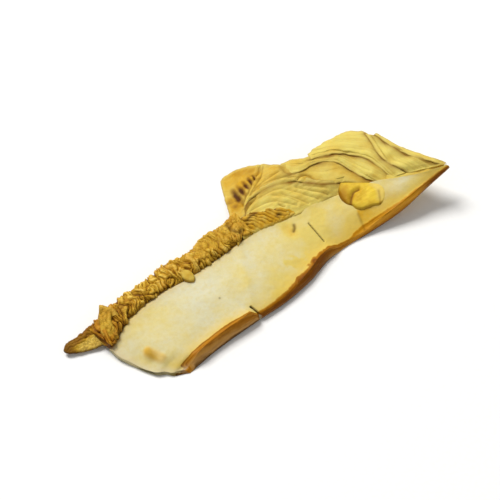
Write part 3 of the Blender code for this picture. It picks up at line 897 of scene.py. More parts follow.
    def relief(self, rings: np.ndarray) -> np.ndarray:
        """Adds the fine relief: undulation, the folds, the slit, the pit, the dent and the crack.

        Args:
            rings: The smooth rings.

        Returns:
            The rings with their relief.
        """
        grain = Grain(self.relief_seed)
        top = self.lower_steps + self.skin_steps
        shaped = rings.copy()
        flat = rings[:, top:]
        x = flat[..., 0]
        lift = 0.16 * grain.at(flat, 8.0) + 0.08 * grain.at(flat, 3.0) + 0.035 * grain.at(flat, 1.0, 2)
        lift += 0.14 * dip(self.fold.distance(flat), 1.0)
        lift -= 0.3 * dip(self.pit.distance(flat), 0.3) + 0.2 * dip(self.halo.distance(flat), 1.0)
        lift -= 0.4 * dip(self.slit.distance(flat), 0.15)
        lift += 0.4 * dip(self.dent.distance(flat) - 0.2, 0.7)
        near_root = np.linspace(0, 1, self.upper_steps)
        lift += 0.75 * ease((x - 22.0) / 10.0) * ease((42.5 - x) / 4.0) * near_root**2
        beside_comb = ease((x - 1.0) / 1.5) * ease((13.0 - x) / 2.0)
        lift -= 0.5 * ease((near_root - 0.955) / 0.045) * (1 - beside_comb)
        shaped[:, top:, 2] += lift
        skin = shaped[:, self.lower_steps:top]
        skin[..., 1] += 0.10 * grain.at(skin, (4.0, 4.0, 0.7), 2)
        notch = dip(self.crack.distance(shaped), 0.17)[:, self.lower_steps:, None]
        shaped[:, self.lower_steps:] += notch * 0.5 * np.array([-0.25, 0.97, 0.0])
        shaped[:, top:, 2] -= 0.6 * notch[:, self.skin_steps:, 0]
        # The foot of the skin turns under.
        foot = rings[:, self.lower_steps - 1:self.lower_steps]
        tuck = dip(np.linalg.norm(rings - foot, axis=2), 0.5)
        shaped[..., :2] += tuck[..., None] * 0.12 * np.array([-0.1, 0.95])
        return shaped

    def build(self, finish: bpy.types.Material) -> bpy.types.Object:
        """Builds and dresses the flesh.

        Args:
            finish: The material of cut flesh and skin.

        Returns:
            The new object.
        """
        rings = self.rings()
        faces = closed_faces(*rings.shape[:2])
        return Piece("flesh", self.relief(rings), faces, self.marks(rings)).make(finish)


@dataclass
class ShortGillRow:
    """The crinkled short gills, a ruffle along the left half of the flesh."""

    outer: Line = Line((
        (-36.6, -0.9, 0.0), (-32.2, 0.8, 0.0), (-27.0, 2.4, 0.0), (-21.5, 3.2, 0.0), (-16.0, 4.8, 0.0),
        (-11.5, 4.7, 0.0), (-6.5, 6.6, 0.0), (-1.0, 7.4, 0.0), (2.0, 8.8, 0.0),
    ))
    # A deep crease sets off the row's right end, darkened with painted shade.
    crease: Line = Line(((-1.0, 6.1), (-0.8, 4.2), (0.0, 3.1), (1.0, 3.7)))
    root_share: float = 0.48
    low: float = 0.7
    high: float = 4.5
    gill_mm: float = 0.75
    fold_depth: float = 1.15
    # The row's usual width, which the folds are laid out by.
    wide: float = 5.5
    stations: int = 440
    round_steps: int = 170
    seed: int = 21

    def roll(
        self, grain: Grain, places: np.ndarray, across: np.ndarray, rise: np.ndarray,
    ) -> tuple[np.ndarray, np.ndarray]:
        """Shapes the ruffle without its folds.

        Args:
            grain: The ruffle's own grain.
            places: How far along the row each ring lies, 0 to 1.
            across: How far across the row each point of a ring lies, 0 to 1.
            rise: How far each lies above the ring's middle, or below it when less than 0, up to 1.

        Returns:
            The points, and how far along the row each ring lies in millimetres.
        """
        roots, outer = GILL_ROOT.at(self.root_share * places), self.outer.at(places)
        roots[:, 2], outer[:, 2] = 0.0, 0.0
        course = travelled((roots + outer) / 2)
        # The ruffle spills over the flesh by an uneven amount.
        spill = 0.08 + 0.07 * grain.at(joined(course, 0.0, 0.0), 2.2, 2)
        start = roots - (outer - roots) * spill[:, None]
        grid = between(start, outer, across * 1.06 - 0.03)
        taper = ease(places / 0.05) * ease((1 - places) / 0.06)
        middle = np.interp(across, [0, 1], [2.6, 2.0])
        lumps = 0.4 * grain.at(grid + (0, 0, 3), 3.4, 2)
        crown = (self.high - 0.45 * across**3)[None, :] - middle[None, :]
        crown = crown * (0.72 + 0.28 * taper[:, None]) * (0.55 + 0.45 * ease(places / 0.11))[:, None] + lumps
        floor = middle - self.low
        grid[..., 2] = middle + np.where(rise > 0, rise * crown, rise * floor[None, :])
        return grid, course

    def folds(self, grain: Grain, walk: np.ndarray, calm: np.ndarray) -> np.ndarray:
        """Folds the ruffle: lobes with narrow creases between them, and finer folds that run across.

        Args:
            grain: The ruffle's own grain.
            walk: How far along, across and up each point lies, in millimetres.
            calm: Where the folds are shallower, 0 to 1.

        Returns:
            The height of each point, from about 0 in a crease to 1 on a crest.
        """
        bend = walk + 0.9 * np.stack([grain.at(walk + k, 2.2) for k in (11.0, 23.0, 37.0)], -1)
        lobe = np.clip(3.0 * np.abs(grain.at(bend + 3, (1.8, 3.6, 3.0))), 0, 1) ** 0.6
        fine = np.clip(2.6 * np.abs(grain.at(bend + 5, (self.gill_mm, 3.4, 2.6), 2)), 0, 1) ** 0.7
        height = 0.22 + 0.34 * lobe + 0.44 * fine * (0.6 + 0.4 * lobe)
        return height + calm * (0.9 - height) * 0.45

    def build(self, finish: bpy.types.Material) -> bpy.types.Object:
        """Builds and dresses the ruffle.

        Args:
            finish: The material of short gills.

        Returns:
            The new object.
        """
        grain = Grain(self.seed)
        places = np.linspace(0, 1, self.stations)
        # Each ring is a squarish oval.
        turn = np.linspace(0, math.tau, self.round_steps, endpoint=False)
        top = np.clip(turn / math.pi, 0, 1)
        swing, climb = np.cos(turn), np.sin(turn)
        across = 0.5 - 0.5 * np.sign(swing) * np.abs(swing) ** 0.8
        rise = np.sign(climb) * np.abs(climb) ** 0.62
        grid, course = self.roll(grain, places, across, rise)
        lean = 0.35 * ease((0.3 - places) / 0.25)[:, None] * (across - 0.5) * self.wide
        walk = joined(course[:, None] - lean, across * self.wide, top * 3.0)
        calm = ease((places[:, None] - 0.6) / 0.12) * ease((top[None, :] - 0.25) / 0.2)
        height = self.folds(grain, walk, calm)
        normal = np.cross(np.gradient(grid, axis=0), np.gradient(grid, axis=1))
        normal /= np.linalg.norm(normal, axis=2, keepdims=True) + 1e-9
        # Every normal looks outwards once the one at the top of the middle ring looks up.
        normal *= np.sign(normal[self.stations // 2, self.round_steps // 4, 2])
        depth = self.fold_depth * np.where(rise > -0.2, 1.0, 0.5)[None, :]
        grid += normal * (depth * (height - 0.9))[..., None]
        crease = dip(self.crease.distance(grid), 0.42) * (rise > 0)
        grid[..., 2] -= 0.3 * crease
        # Painted shade along the inner edge, where the ruffle meets the flesh.
        tucked = dip(across, 0.05) * (climb > -0.2)
        far_left = ease((0.34 - places) / 0.3)[:, None]
        marks = {
            "height": np.clip((height - 0.26) * 1.3 - 0.18 * far_left - 0.12 * calm, 0, 1),
            "tone": np.clip(0.06 + 0.5 * far_left + 0.35 * grain.at(grid, 3.0, 2), 0, 1),
            "dark": np.maximum(0.3 * tucked[None, :], 0.7 * crease),
        }
        faces = closed_faces(self.stations, self.round_steps, turned=True)
        return Piece("short_gills", grid, faces, marks).make(finish)


@dataclass
class Comb:
    """The short low ridges that carry the ruffle on along the flesh, like the teeth of a comb."""

    shares: tuple[float, float] = (0.452, 0.6)
    pit: Spot = (9.3, 3.5)
    # Creases where the row of short gills ends, darkened with painted shade.
    crease: Line = Line(((1.9, 5.9), (3.1, 5.3), (3.6, 5.5), (4.4, 5.8), (5.3, 5.9)))
    hollow: Spot = (2.6, 4.4)
    ridge_mm: float = 1.0
    high: float = 0.65
    reach: float = 3.7
    stations: int = 190
    rows: int = 66
    seed: int = 27

    def build(self, finish: bpy.types.Material) -> bpy.types.Object:
        """Builds and dresses the ridges.

        Args:
            finish: The material of long gills.

        Returns:
            The new object.
        """
        grain = Grain(self.seed)
        places = np.linspace(0, 1, self.stations)
        roots = GILL_ROOT.at(self.shares[0] + (self.shares[1] - self.shares[0]) * places)
        way = np.gradient(roots, axis=0)
        away = joined(-way[:, 1], way[:, 0], 0.0)
        away /= np.linalg.norm(away, axis=1, keepdims=True)
        shares = np.linspace(0, 1, self.rows)
        course = travelled(roots)
        uneven = 1 + 0.18 * grain.at(joined(course, 0.0, 2.0), 1.3, 2)
        length = self.reach * (1 + 0.5 * places - 1.1 * places**2) * uneven
        grid = roots[:, None, :] + away[:, None, :] * (-0.9 + (length[:, None] + 0.9) * shares)[..., None]
        off = np.linalg.norm(grid[..., :2] - roots[:, None, :2], axis=-1) * np.sign(shares - 0.18)
        # The teeth lean to the left, more and more towards their tips.
        bow = (0.75 * off + 0.06 * np.maximum(off, 0) ** 2) / self.ridge_mm
        phase = course[:, None] / self.ridge_mm + bow
        phase = phase + 0.5 * grain.at(grid, 2.6) + 0.25 * grain.at(grid, 1.1)
        crest = np.abs(np.sin(math.pi * phase))
        window = ease((shares - 0.06) / 0.34) * ease((1 - places) / 0.12)[:, None]
        window = window * (0.85 + 0.5 * grain.at(grid + 4, 1.7))
        base = roots[:, None, 2] + 2.05 + 0.15 * ease(off / 2.5) - 0.45 * ease((shares - 0.84) / 0.16)
        pit = dip(np.linalg.norm((grid[..., :2] - self.pit) / (1.0, 0.7), axis=-1), 0.6)
        hollow = np.maximum(dip(np.linalg.norm(grid[..., :2] - self.hollow, axis=-1), 0.45),
                            dip(self.crease.distance(grid), 0.34))
        sunk = 0.1 * pit + 0.12 * hollow + 0.75 * ease((0.2 - shares) / 0.2)
        grid[..., 2] = base - sunk + self.high * window * (crest - 0.4)
        grid[..., 2] += 0.1 * grain.at(grid, 1.0, 2)
        # Painted shade between the teeth and at their tips, and browner at the row's left end.
        shade_between_teeth = (0.8 - 0.3 * places[:, None]) * (1 - crest) ** 1.3 * np.clip(window * 1.4, 0, 1)
        at_left = 0.4 * ease((0.3 - places[:, None]) / 0.3) * ease((shares - 0.3) / 0.3)
        shade_at_tips = ease((shares - 0.8) / 0.1) * (0.45 + 1.2 * grain.at(grid + 6, 1.3))
        marks = {
            "along": off, "across": course[:, None], "edge": 2.0,
            "tone": np.clip(0.95 + 0.4 * grain.at(grid, 1.8, 2) - 0.5 * ease((0.3 - shares) / 0.2), 0, 1),
            "groove_shade": np.clip(shade_between_teeth + 0.12 + at_left + shade_at_tips, 0, 1),
            # Painted shade darkens the pit and the creases.
            "dark": np.clip(1.1 * pit + 0.75 * hollow, 0, 1),
        }
        return two_sided("comb", grid, 0.06 + 0.3 * ease(shares / 0.15), marks).make(finish)


@dataclass
class LongGill:
    """One long gill: a waved leaf between a front and a back edge."""

    name: str
    front: Line
    back: Line
    tucked: bool = False
    over: Line | None = None
    tone: float = 0.3
    browned: float = 0.0
    steps: int = 190
    rows: int = 70
    thick: float = 0.26
    curl: float = 0.0
    sink: float = 0.45
    # Folds within the leaf, each with its depth.
    folds: tuple[tuple[Line, float], ...] = ()
    # Slots, painted dark with shade, each with its place and length, and the way they run in degrees.
    slots: tuple[tuple[Spot, float], ...] = ()
    slot_turn: float = 86.0
    # Browner spots, each with its place, radius and strength.
    brown_spots: tuple[tuple[Spot, float, float], ...] = ()
    # The strip beside the front edge that is pressed onto the leaf beneath, how far above that leaf
    # it stays, and the widest gap that is closed.
    pressed: float = 5.0
    stand_off: float = 0.17
    widest_gap: float = 1.6

    def settle(self, grid: np.ndarray, across: np.ndarray, beneath: bpy.types.Object) -> None:
        """Presses the front edge down onto the leaf beneath, where it stands off a little.

        Args:
            grid: The leaf's points, which are moved.
            across: How far each point lies from the front edge.
            beneath: The leaf that it overlaps.
        """
        for row, column in np.argwhere(across < self.pressed):
            x, y, z = grid[row, column] + CENTRING
            hit, spot, *_ = beneath.ray_cast((x * MM, y * MM, 1.0), (0.0, 0.0, -1.0))
            gap = z - spot.z / MM - self.stand_off if hit else 0.0
            if 0.0 < gap < self.widest_gap:
                grid[row, column, 2] -= gap * math.exp(-across[row, column] / 2.0)

    def waved(self, draw: random.Random, grain: Grain) -> tuple[np.ndarray, ...]:
        """Shapes the leaf with its waves, its curled front edge and its uneven outline.

        Args:
            draw: The random draw that the solid leaves took their waves from.
            grain: The leaf's own grain.

        Returns:
            The leaf's points, and how far each lies along it, across it and from its rim.
        """
        places = np.linspace(0, 1, self.steps)
        front, back = self.front.at(places), self.back.at(places)
        length = np.linalg.norm((back - front)[:, :2], axis=1, keepdims=True)
        if self.tucked:
            back += (back - front) / length * ease(length / 3.0)
            back[:, 2] -= 0.28
        even = np.linspace(0, 1, self.rows)
        shares = 0.7 * even + 0.3 * (0.5 - 0.5 * np.cos(math.pi * even))
        grid = between(front, back, shares)
        phase = draw.uniform(2.2, 3.4) * places[:, None] + 0.5 * shares[None, :]
        wave = np.sin(math.tau * phase + draw.uniform(0, math.tau))
        grid[..., 2] += 0.22 * wave * ease(length / 5.0)
        along = np.broadcast_to(travelled((front + back) / 2)[:, None], grid.shape[:2])
        across = shares[None, :] * length
        edge = np.minimum(np.minimum(across, length - across), along + 0.05)
        ribs = grain.at(joined(along / 8.0, across / 0.9, 0.0), 1.0, 2)
        grid[..., 2] += 0.12 + 0.10 * ribs * ease(across / 0.8)
        grid[..., 2] += 0.10 * grain.at(grid, 2.2, 2) * ease(across / 1.2)
        # The front edge opens in places and lies tight in others.
        curl = self.curl - 0.08 + 0.12 * grain.at(joined(along, 0.0, 0.0), 3.5)
        grid[..., 2] += curl * np.exp(-np.minimum(across, along) / 0.6) * ease(length / 2.0)
        grid[..., 2] -= self.sink * ease((places[:, None] - 0.86) / 0.14)
        grid[..., 1] += 0.26 * grain.at(grid, 1.8, 2) * np.exp(-edge / 0.8)
        grid[..., 0] += 0.25 * grain.at(grid + 9.0, 1.6, 2) * np.exp(-along / 0.8)
        return grid, along, across, edge

    def creased(self, grid: np.ndarray, grain: Grain, along: np.ndarray) -> Marks:
        """Presses the folds and slots into the leaf, and works out where it is darker.

        Args:
            grid: The leaf's points, whose heights change.
            grain: The leaf's own grain.
            along: How far each point lies along the leaf.

        Returns:
            The tone, groove_shade and dark marks: painted shade, and the browner spots.
        """
        groove_shade, dark = np.zeros(grid.shape[:2]), np.zeros(grid.shape[:2])
        tone = self.tone + 0.35 * grain.at(grid, 4.0, 2) + self.browned * np.exp(-along / 3.5)
        # Painted shade on this leaf under the front edge of the leaf above.
        if self.over is not None:
            under = self.over.distance(grid)
            shade = 0.85 * np.exp(-under / 0.42) + 0.2 * np.exp(-under / 1.2)
            groove_shade = np.clip(shade * (0.75 + 0.6 * grain.at(grid + 3.0, 2.4)), 0, 1)
        for line, depth in self.folds:
            near = line.distance(grid)
            grid[..., 2] -= depth * dip(near, 0.25) - 0.6 * depth * dip(near - 0.6, 0.35)
            # Painted shade in the fold.
            groove_shade = np.maximum(groove_shade, min(3.2 * depth, 0.9) * dip(near, 0.17))
        for spot, radius, strength in self.brown_spots:
            brown_spot = strength * dip(np.linalg.norm(grid[..., :2] - spot, axis=-1), radius)
            brown_spot *= 0.8 + 0.6 * grain.at(grid + 2.0, 1.4)
            groove_shade, tone = np.maximum(groove_shade, 0.8 * brown_spot), tone + brown_spot
        turn = math.radians(self.slot_turn)
        way, side = (math.cos(turn), math.sin(turn)), (-math.sin(turn), math.cos(turn))
        for spot, size in self.slots:
            off = grid[..., :2] - spot
            away = np.hypot(off @ way / (0.5 * size), off @ side / (0.14 * size + 0.08))
            away += 0.3 * grain.at(grid + 7.0, 0.9)
            grid[..., 2] += 0.1 * dip(away - 1.7, 0.5) - 0.15 * ease(1.4 - away)
            # Painted shade in the slot.
            dark = np.maximum(dark, 0.95 * ease((1.3 - away) / 0.8))
            groove_shade = np.maximum(groove_shade, 0.75 * ease(2.1 - away))
        return {"tone": np.clip(tone, 0, 1), "groove_shade": groove_shade, "dark": dark}

    def build(
        self, draw: random.Random, seed: int, finish: bpy.types.Material, beneath: bpy.types.Object | None,
    ) -> bpy.types.Object:
        """Builds and dresses the leaf.

        Args:
            draw: The random draw that the solid leaves took their waves from.
            seed: The seed of this leaf's own grain.
            finish: The material of long gills.
            beneath: The leaf that its front edge lies on, if there is one.

        Returns:
            The new object.
        """
        grain = Grain(seed)
        grid, along, across, edge = self.waved(draw, grain)
        if beneath is not None:
            self.settle(grid, across, beneath)
        marks = self.creased(grid, grain, along)
        # Painted shade along the leaf's rim.
        marks["groove_shade"] = np.clip(np.maximum(marks["groove_shade"], 0.75 * np.exp(-edge / 0.18)), 0, 1)
        marks |= {"along": along, "across": across, "edge": edge}
        return two_sided(self.name, grid, self.thick * rounded(edge, 0.28, 0.04), marks).make(finish)


@dataclass
class LongGillFan:
    """The long gills of the right half, overlapping like shingles."""

    comb_front: Line = Line((
        (-1.3, 0.6, 2.5), (2.2, 2.0, 2.6), (11.7, 1.9, 2.8), (19.0, 1.9, 3.2), (22.0, 1.7, 3.6)))
    comb_back: Line = Line((
        (1.0, 7.6, 1.9), (1.8, 6.6, 2.2), (3.6, 6.8, 2.5), (4.6, 8.5, 2.7), (6.6, 9.8, 3.0), (8.6, 10.0, 3.4),
        (11.9, 9.6, 4.0), (14.9, 8.8, 4.2), (17.6, 6.9, 4.4), (20.0, 4.8, 4.5), (24.0, 3.2, 4.7)))
    tab_front: Line = Line(comb_back.points + ((27.0, 0.8, 5.0), (29.5, -0.3, 5.1)))
    tab_back: Line = Line((
        (4.5, 18.45, 0.35), (7.5, 18.6, 0.7), (12.2, 16.3, 3.0), (15.2, 13.4, 4.0),
        (20.6, 10.4, 4.4), (24.9, 8.6, 4.7), (27.2, 4.4, 4.9), (29.6, 0.2, 5.1)))
    fold_front: Line = Line((
        (14.9, 12.6, 4.4), (15.3, 10.6, 4.5), (17.6, 9.6, 4.8), (21.0, 9.8, 5.1),
        (24.6, 8.1, 5.2), (26.2, 5.4, 5.3), (28.3, 1.2, 5.4), (30.0, -0.6, 5.5)))
    fold_back: Line = Line((
        (15.6, 13.6, 4.1), (18.6, 12.9, 4.3), (21.6, 12.0, 4.4), (25.5, 10.6, 4.7),
        (28.4, 8.6, 4.9), (31.0, 5.6, 5.2), (32.2, 1.8, 5.5), (33.0, -1.8, 5.8)))
    broad_front: Line = Line((
        (21.0, 11.2, 5.0), (24.7, 9.8, 5.5), (27.4, 8.4, 5.7), (30.2, 5.8, 5.8),
        (31.4, 2.4, 6.0), (32.6, -1.5, 6.2)))
    broad_back: Line = Line((
        (21.6, 12.9, 4.5), (26.4, 13.3, 4.9), (30.6, 13.2, 5.3), (33.6, 10.2, 5.9),
        (33.8, 6.0, 6.3), (33.6, 2.0, 6.5), (35.2, -2.4, 6.8)))
    steep_front: Line = Line((
        (33.2, 10.2, 6.5), (33.0, 7.2, 6.7), (32.8, 4.4, 6.8), (33.4, 1.4, 7.0), (35.6, -2.6, 7.3)))
    last_front: Line = Line((
        (34.4, 8.6, 7.0), (35.6, 4.2, 7.5), (37.4, 0.2, 7.9), (39.4, -2.6, 8.2), (41.8, -5.2, 8.5)))
    last_back: Line = Line((
        (35.2, 8.8, 6.6), (36.8, 4.4, 7.2), (38.6, 0.8, 7.8), (40.6, -2.2, 8.3), (42.8, -5.2, 8.6)))
    under_one: tuple[Line, Line] = (
        Line(((1.0, 2.0, 1.4), (9.0, 2.0, 1.6), (18.0, 2.0, 2.2), (26.0, 0.2, 3.4), (33.0, -2.8, 5.0))),
        Line(((3.0, 11.8, 0.5), (10.0, 11.9, 1.5), (17.5, 10.0, 2.6), (26.0, 10.0, 3.6), (33.2, 4.6, 5.3))),
    )
    under_two: tuple[Line, Line] = (
        Line((
            (10.0, 2.0, 2.3), (17.0, 2.0, 2.7), (24.0, 1.0, 3.6),
            (30.0, -1.2, 4.7), (36.0, -4.2, 6.5), (42.0, -6.4, 8.2))),
        Line((
            (11.5, 14.4, 2.2), (18.5, 11.2, 3.0), (26.5, 12.0, 3.7),
            (32.6, 9.2, 5.0), (38.2, 0.0, 7.0), (42.6, -4.8, 8.3))),
    )
    # The slots of the tab-shaped leaf, each with its place and length.
    slots: tuple[tuple[Spot, float], ...] = (
        ((4.9, 12.2), 3.1), ((6.2, 12.7), 2.4), ((7.4, 13.1), 2.0), ((8.6, 13.5), 1.7), ((9.7, 13.9), 1.2))
    # Its browner spots, each with its place, radius and strength.
    brown_spots: tuple[tuple[Spot, float, float], ...] = (
        ((3.5, 10.5), 1.0, 0.95), ((3.1, 12.0), 1.0, 0.8), ((4.2, 10.0), 0.8, 0.6), ((6.9, 13.4), 1.4, 0.3),
        ((9.8, 15.9), 1.6, 0.55), ((8.0, 17.4), 1.2, 0.4))
    # Folds within a leaf, each with its depth.
    comb_folds: tuple[tuple[Line, float], ...] = (
        (Line(((6.0, 8.9), (10.1, 8.9), (13.5, 7.8), (16.1, 5.1), (18.1, 2.9))), 0.1),
        (Line(((12.3, 7.1), (14.4, 4.9), (15.9, 3.1))), 0.12),
        (Line(((15.6, 7.2), (17.7, 5.0), (20.2, 2.6))), 0.14),
        (Line(((4.5, 7.2), (6.4, 7.5), (9.8, 6.9), (12.0, 5.0), (13.6, 3.6))), 0.11),
        (Line(((10.6, 7.9), (12.6, 6.2), (14.2, 4.2))), 0.09),
        (Line(((17.0, 6.6), (18.6, 5.2), (20.6, 3.6))), 0.1),
        (Line(((9.3, 4.7), (10.0, 4.3), (10.8, 3.7))), 0.16),
        (Line(((10.6, 5.5), (11.0, 4.8), (11.3, 4.5))), 0.18),
        (Line(((3.5, 6.1), (4.0, 7.2), (4.9, 8.1), (6.2, 8.9), (7.6, 9.4))), 0.2),
    )
    tab_folds: tuple[tuple[Line, float], ...] = (
        (Line(((11.8, 15.5), (11.0, 14.4), (9.3, 13.3), (7.6, 11.7), (5.9, 10.5), (4.7, 9.4))), 0.22),
        (Line(((12.6, 15.2), (10.7, 13.0), (8.9, 11.9), (6.8, 10.5))), 0.14),
        (Line(((7.0, 10.4), (9.4, 11.5), (11.9, 12.0), (14.3, 11.9))), 0.14),
        (Line(((8.0, 10.7), (11.0, 11.2), (13.4, 10.7), (15.6, 9.6))), 0.1),
        (Line(((16.5, 8.3), (17.4, 8.6), (18.4, 8.4), (19.1, 7.5), (19.4, 6.6))), 0.22),
        (Line(((12.7, 16.5), (10.8, 14.1), (9.6, 14.4))), 0.16),
    )
    fold_folds: tuple[tuple[Line, float], ...] = (
        (Line(((18.5, 11.2), (21.5, 10.9), (25.2, 8.8))), 0.07),
        (Line(((26.4, 8.2), (28.2, 5.4), (29.6, 2.4))), 0.07),
    )
    # The solid leaves' waves are drawn from the same seed.
    wave_seed: int = 11
    first_seed: int = 40

    def build(self, finish: bpy.types.Material) -> None:
        """Builds and dresses all leaves.

        Args:
            finish: The material of long gills.
        """
        leaves = (
            LongGill("comb_gill", self.comb_front, self.comb_back, tucked=True, over=self.tab_front,
                     tone=0.2, curl=-0.3, folds=self.comb_folds),
            LongGill("tab_gill", self.tab_front, self.tab_back, over=self.fold_front, tone=0.5,
                     browned=0.45, curl=-0.42, folds=self.tab_folds, slots=self.slots, brown_spots=self.brown_spots),
            LongGill("fold_gill", self.fold_front, self.fold_back, over=self.broad_front, tone=0.2,
                     curl=-0.2, folds=self.fold_folds),
            LongGill("broad_gill", self.broad_front, self.broad_back, over=self.steep_front, tone=0.05,
                     curl=-0.3),
            LongGill("steep_gill", self.steep_front, self.last_front, tucked=True, over=self.last_front,
                     tone=0.15, curl=-0.3),
            LongGill("last_gill", self.last_front, self.last_back, rows=30),
            LongGill("under_gill_one", *self.under_one, tone=0.6, steps=120, rows=50),
            LongGill("under_gill_two", *self.under_two, tone=0.45, steps=120, rows=50, curl=-0.6, sink=0.8),
        )
        draw = random.Random(self.wave_seed)
        beneath = None
        for seed, gill in enumerate(leaves, self.first_seed):
            beneath = gill.build(draw, seed, finish, beneath if gill.over is not None else None)


@dataclass
class TailLeaf:
    """The outermost gills of the cut end, flattened into one pointed leaf."""

    front: Line = Line((
        (-33.9, -5.3, 1.0), (-37.8, -4.5, 0.45), (-40.4, -3.9, 0.5), (-41.8, -3.4, 0.6), (-42.6, -2.8, 0.8)))
    back: Line = Line((
        (-33.0, 0.3, 2.0), (-37.0, -0.7, 1.8), (-39.8, -1.2, 1.4), (-41.9, -1.6, 1.2), (-42.65, -2.3, 1.0)))
    thick: float = 0.6
    stations: int = 110
    rows: int = 60
    seed: int = 31

    def build(self, finish: bpy.types.Material) -> bpy.types.Object:
        """Builds and dresses the leaf.

        Args:
            finish: The material of short gills.

        Returns:
            The new object.
        """
        grain = Grain(self.seed)
        places, shares = np.linspace(0, 1, self.stations), np.linspace(0, 1, self.rows)
        front, back = self.front.at(places), self.back.at(places)
        grid = between(front, back, shares)
        wide = np.linalg.norm(back - front, axis=1)[:, None]
        grid[..., 2] += 0.06 * wide * np.sin(math.pi * shares) + 0.1
        across = shares[None, :] * wide
        edge = np.minimum(across, wide - across)
        upper = ease((shares[None, :] - 0.5 + 0.25 * places[:, None]) / 0.25)
        ribs = np.abs(np.sin(math.pi * (shares[None, :] * 4.5 + 0.9 * grain.at(grid, 1.6, 2)))) ** 0.7
        grid[..., 2] += (0.08 + 0.3 * upper) * (ribs - 0.5) * ease(wide / 3.0)
        grid[..., 2] += 0.12 * grain.at(grid, 1.2, 2)
        ragged = joined(grain.at(grid, 1.3, 2), grain.at(grid + 5, 1.3, 2))
        grid[..., :2] += 0.2 * ragged * np.exp(-edge / 0.6)[..., None]
        tip = ease((places[:, None] - 0.6) / 0.35)
        olive = (1 - upper) * ease((0.85 - places[:, None]) / 0.25)
        marks = {
            "height": np.clip(0.02 + 0.28 * ribs + 0.75 * olive, 0, 1),
            "tone": np.clip(0.2 + 0.1 * tip - 0.3 * olive + 0.3 * grain.at(grid, 2.0), 0, 1),
            # Painted shadow along the front edge, where the leaf lies on the floor; darker also round the
            # edge, at the tip and along the upper band.
            "dark": np.clip(
                0.3 * np.exp(-edge / 0.25) + 0.6 * dip(across, 0.3) + 0.3 * tip + 0.15 * upper, 0, 1),
        }
        return two_sided("tail", grid, self.thick * rounded(edge, 0.3, 0.05), marks).make(finish)


@dataclass
class Sliver:
    """A torn strip of gill with folds that run along it."""

    name: str
    left: Line
    right: Line
    ribs: int
    light: float
    thick: float = 0.4
    stations: int = 90
    rows: int = 44
    seed: int = 33

    def build(self, finish: bpy.types.Material) -> bpy.types.Object:
        """Builds and dresses the strip.

        Args:
            finish: The material of short gills.

        Returns:
            The new object.
        """
        grain = Grain(self.seed)
        places, shares = np.linspace(0, 1, self.stations), np.linspace(0, 1, self.rows)
        left, right = self.left.at(places), self.right.at(places)
        grid = between(left, right, shares)
        wide = np.linalg.norm(right - left, axis=1)[:, None]
        ribs = np.abs(np.sin(math.pi * (shares[None, :] * self.ribs + 0.7 * grain.at(grid, 2.0, 2)))) ** 0.7
        grid[..., 2] += 0.35 * np.sin(math.pi * shares) * ease(wide / 2.0) + 0.12 * grain.at(grid, 0.8, 2)
        grid[..., 2] += 0.25 * (ribs - 0.6) * ease(wide / 3.0) + 0.2 * grain.at(grid + 2.0, 1.9)
        edge = np.minimum(shares, 1 - shares)[None, :] * wide
        marks = {
            "height": np.clip(self.light + 0.3 * (ribs - 0.4) + 0.25 * grain.at(grid + 4.0, 1.6), 0, 1),
            "tone": np.clip(0.05 + 0.3 * grain.at(grid, 1.4), 0, 1),
            "dark": 0.5 * np.exp(-edge / 0.25),
        }
        round_off = np.sqrt(np.clip(edge / 0.3, 0.15, 1))
        return two_sided(self.name, grid, self.thick * round_off, marks).make(finish)


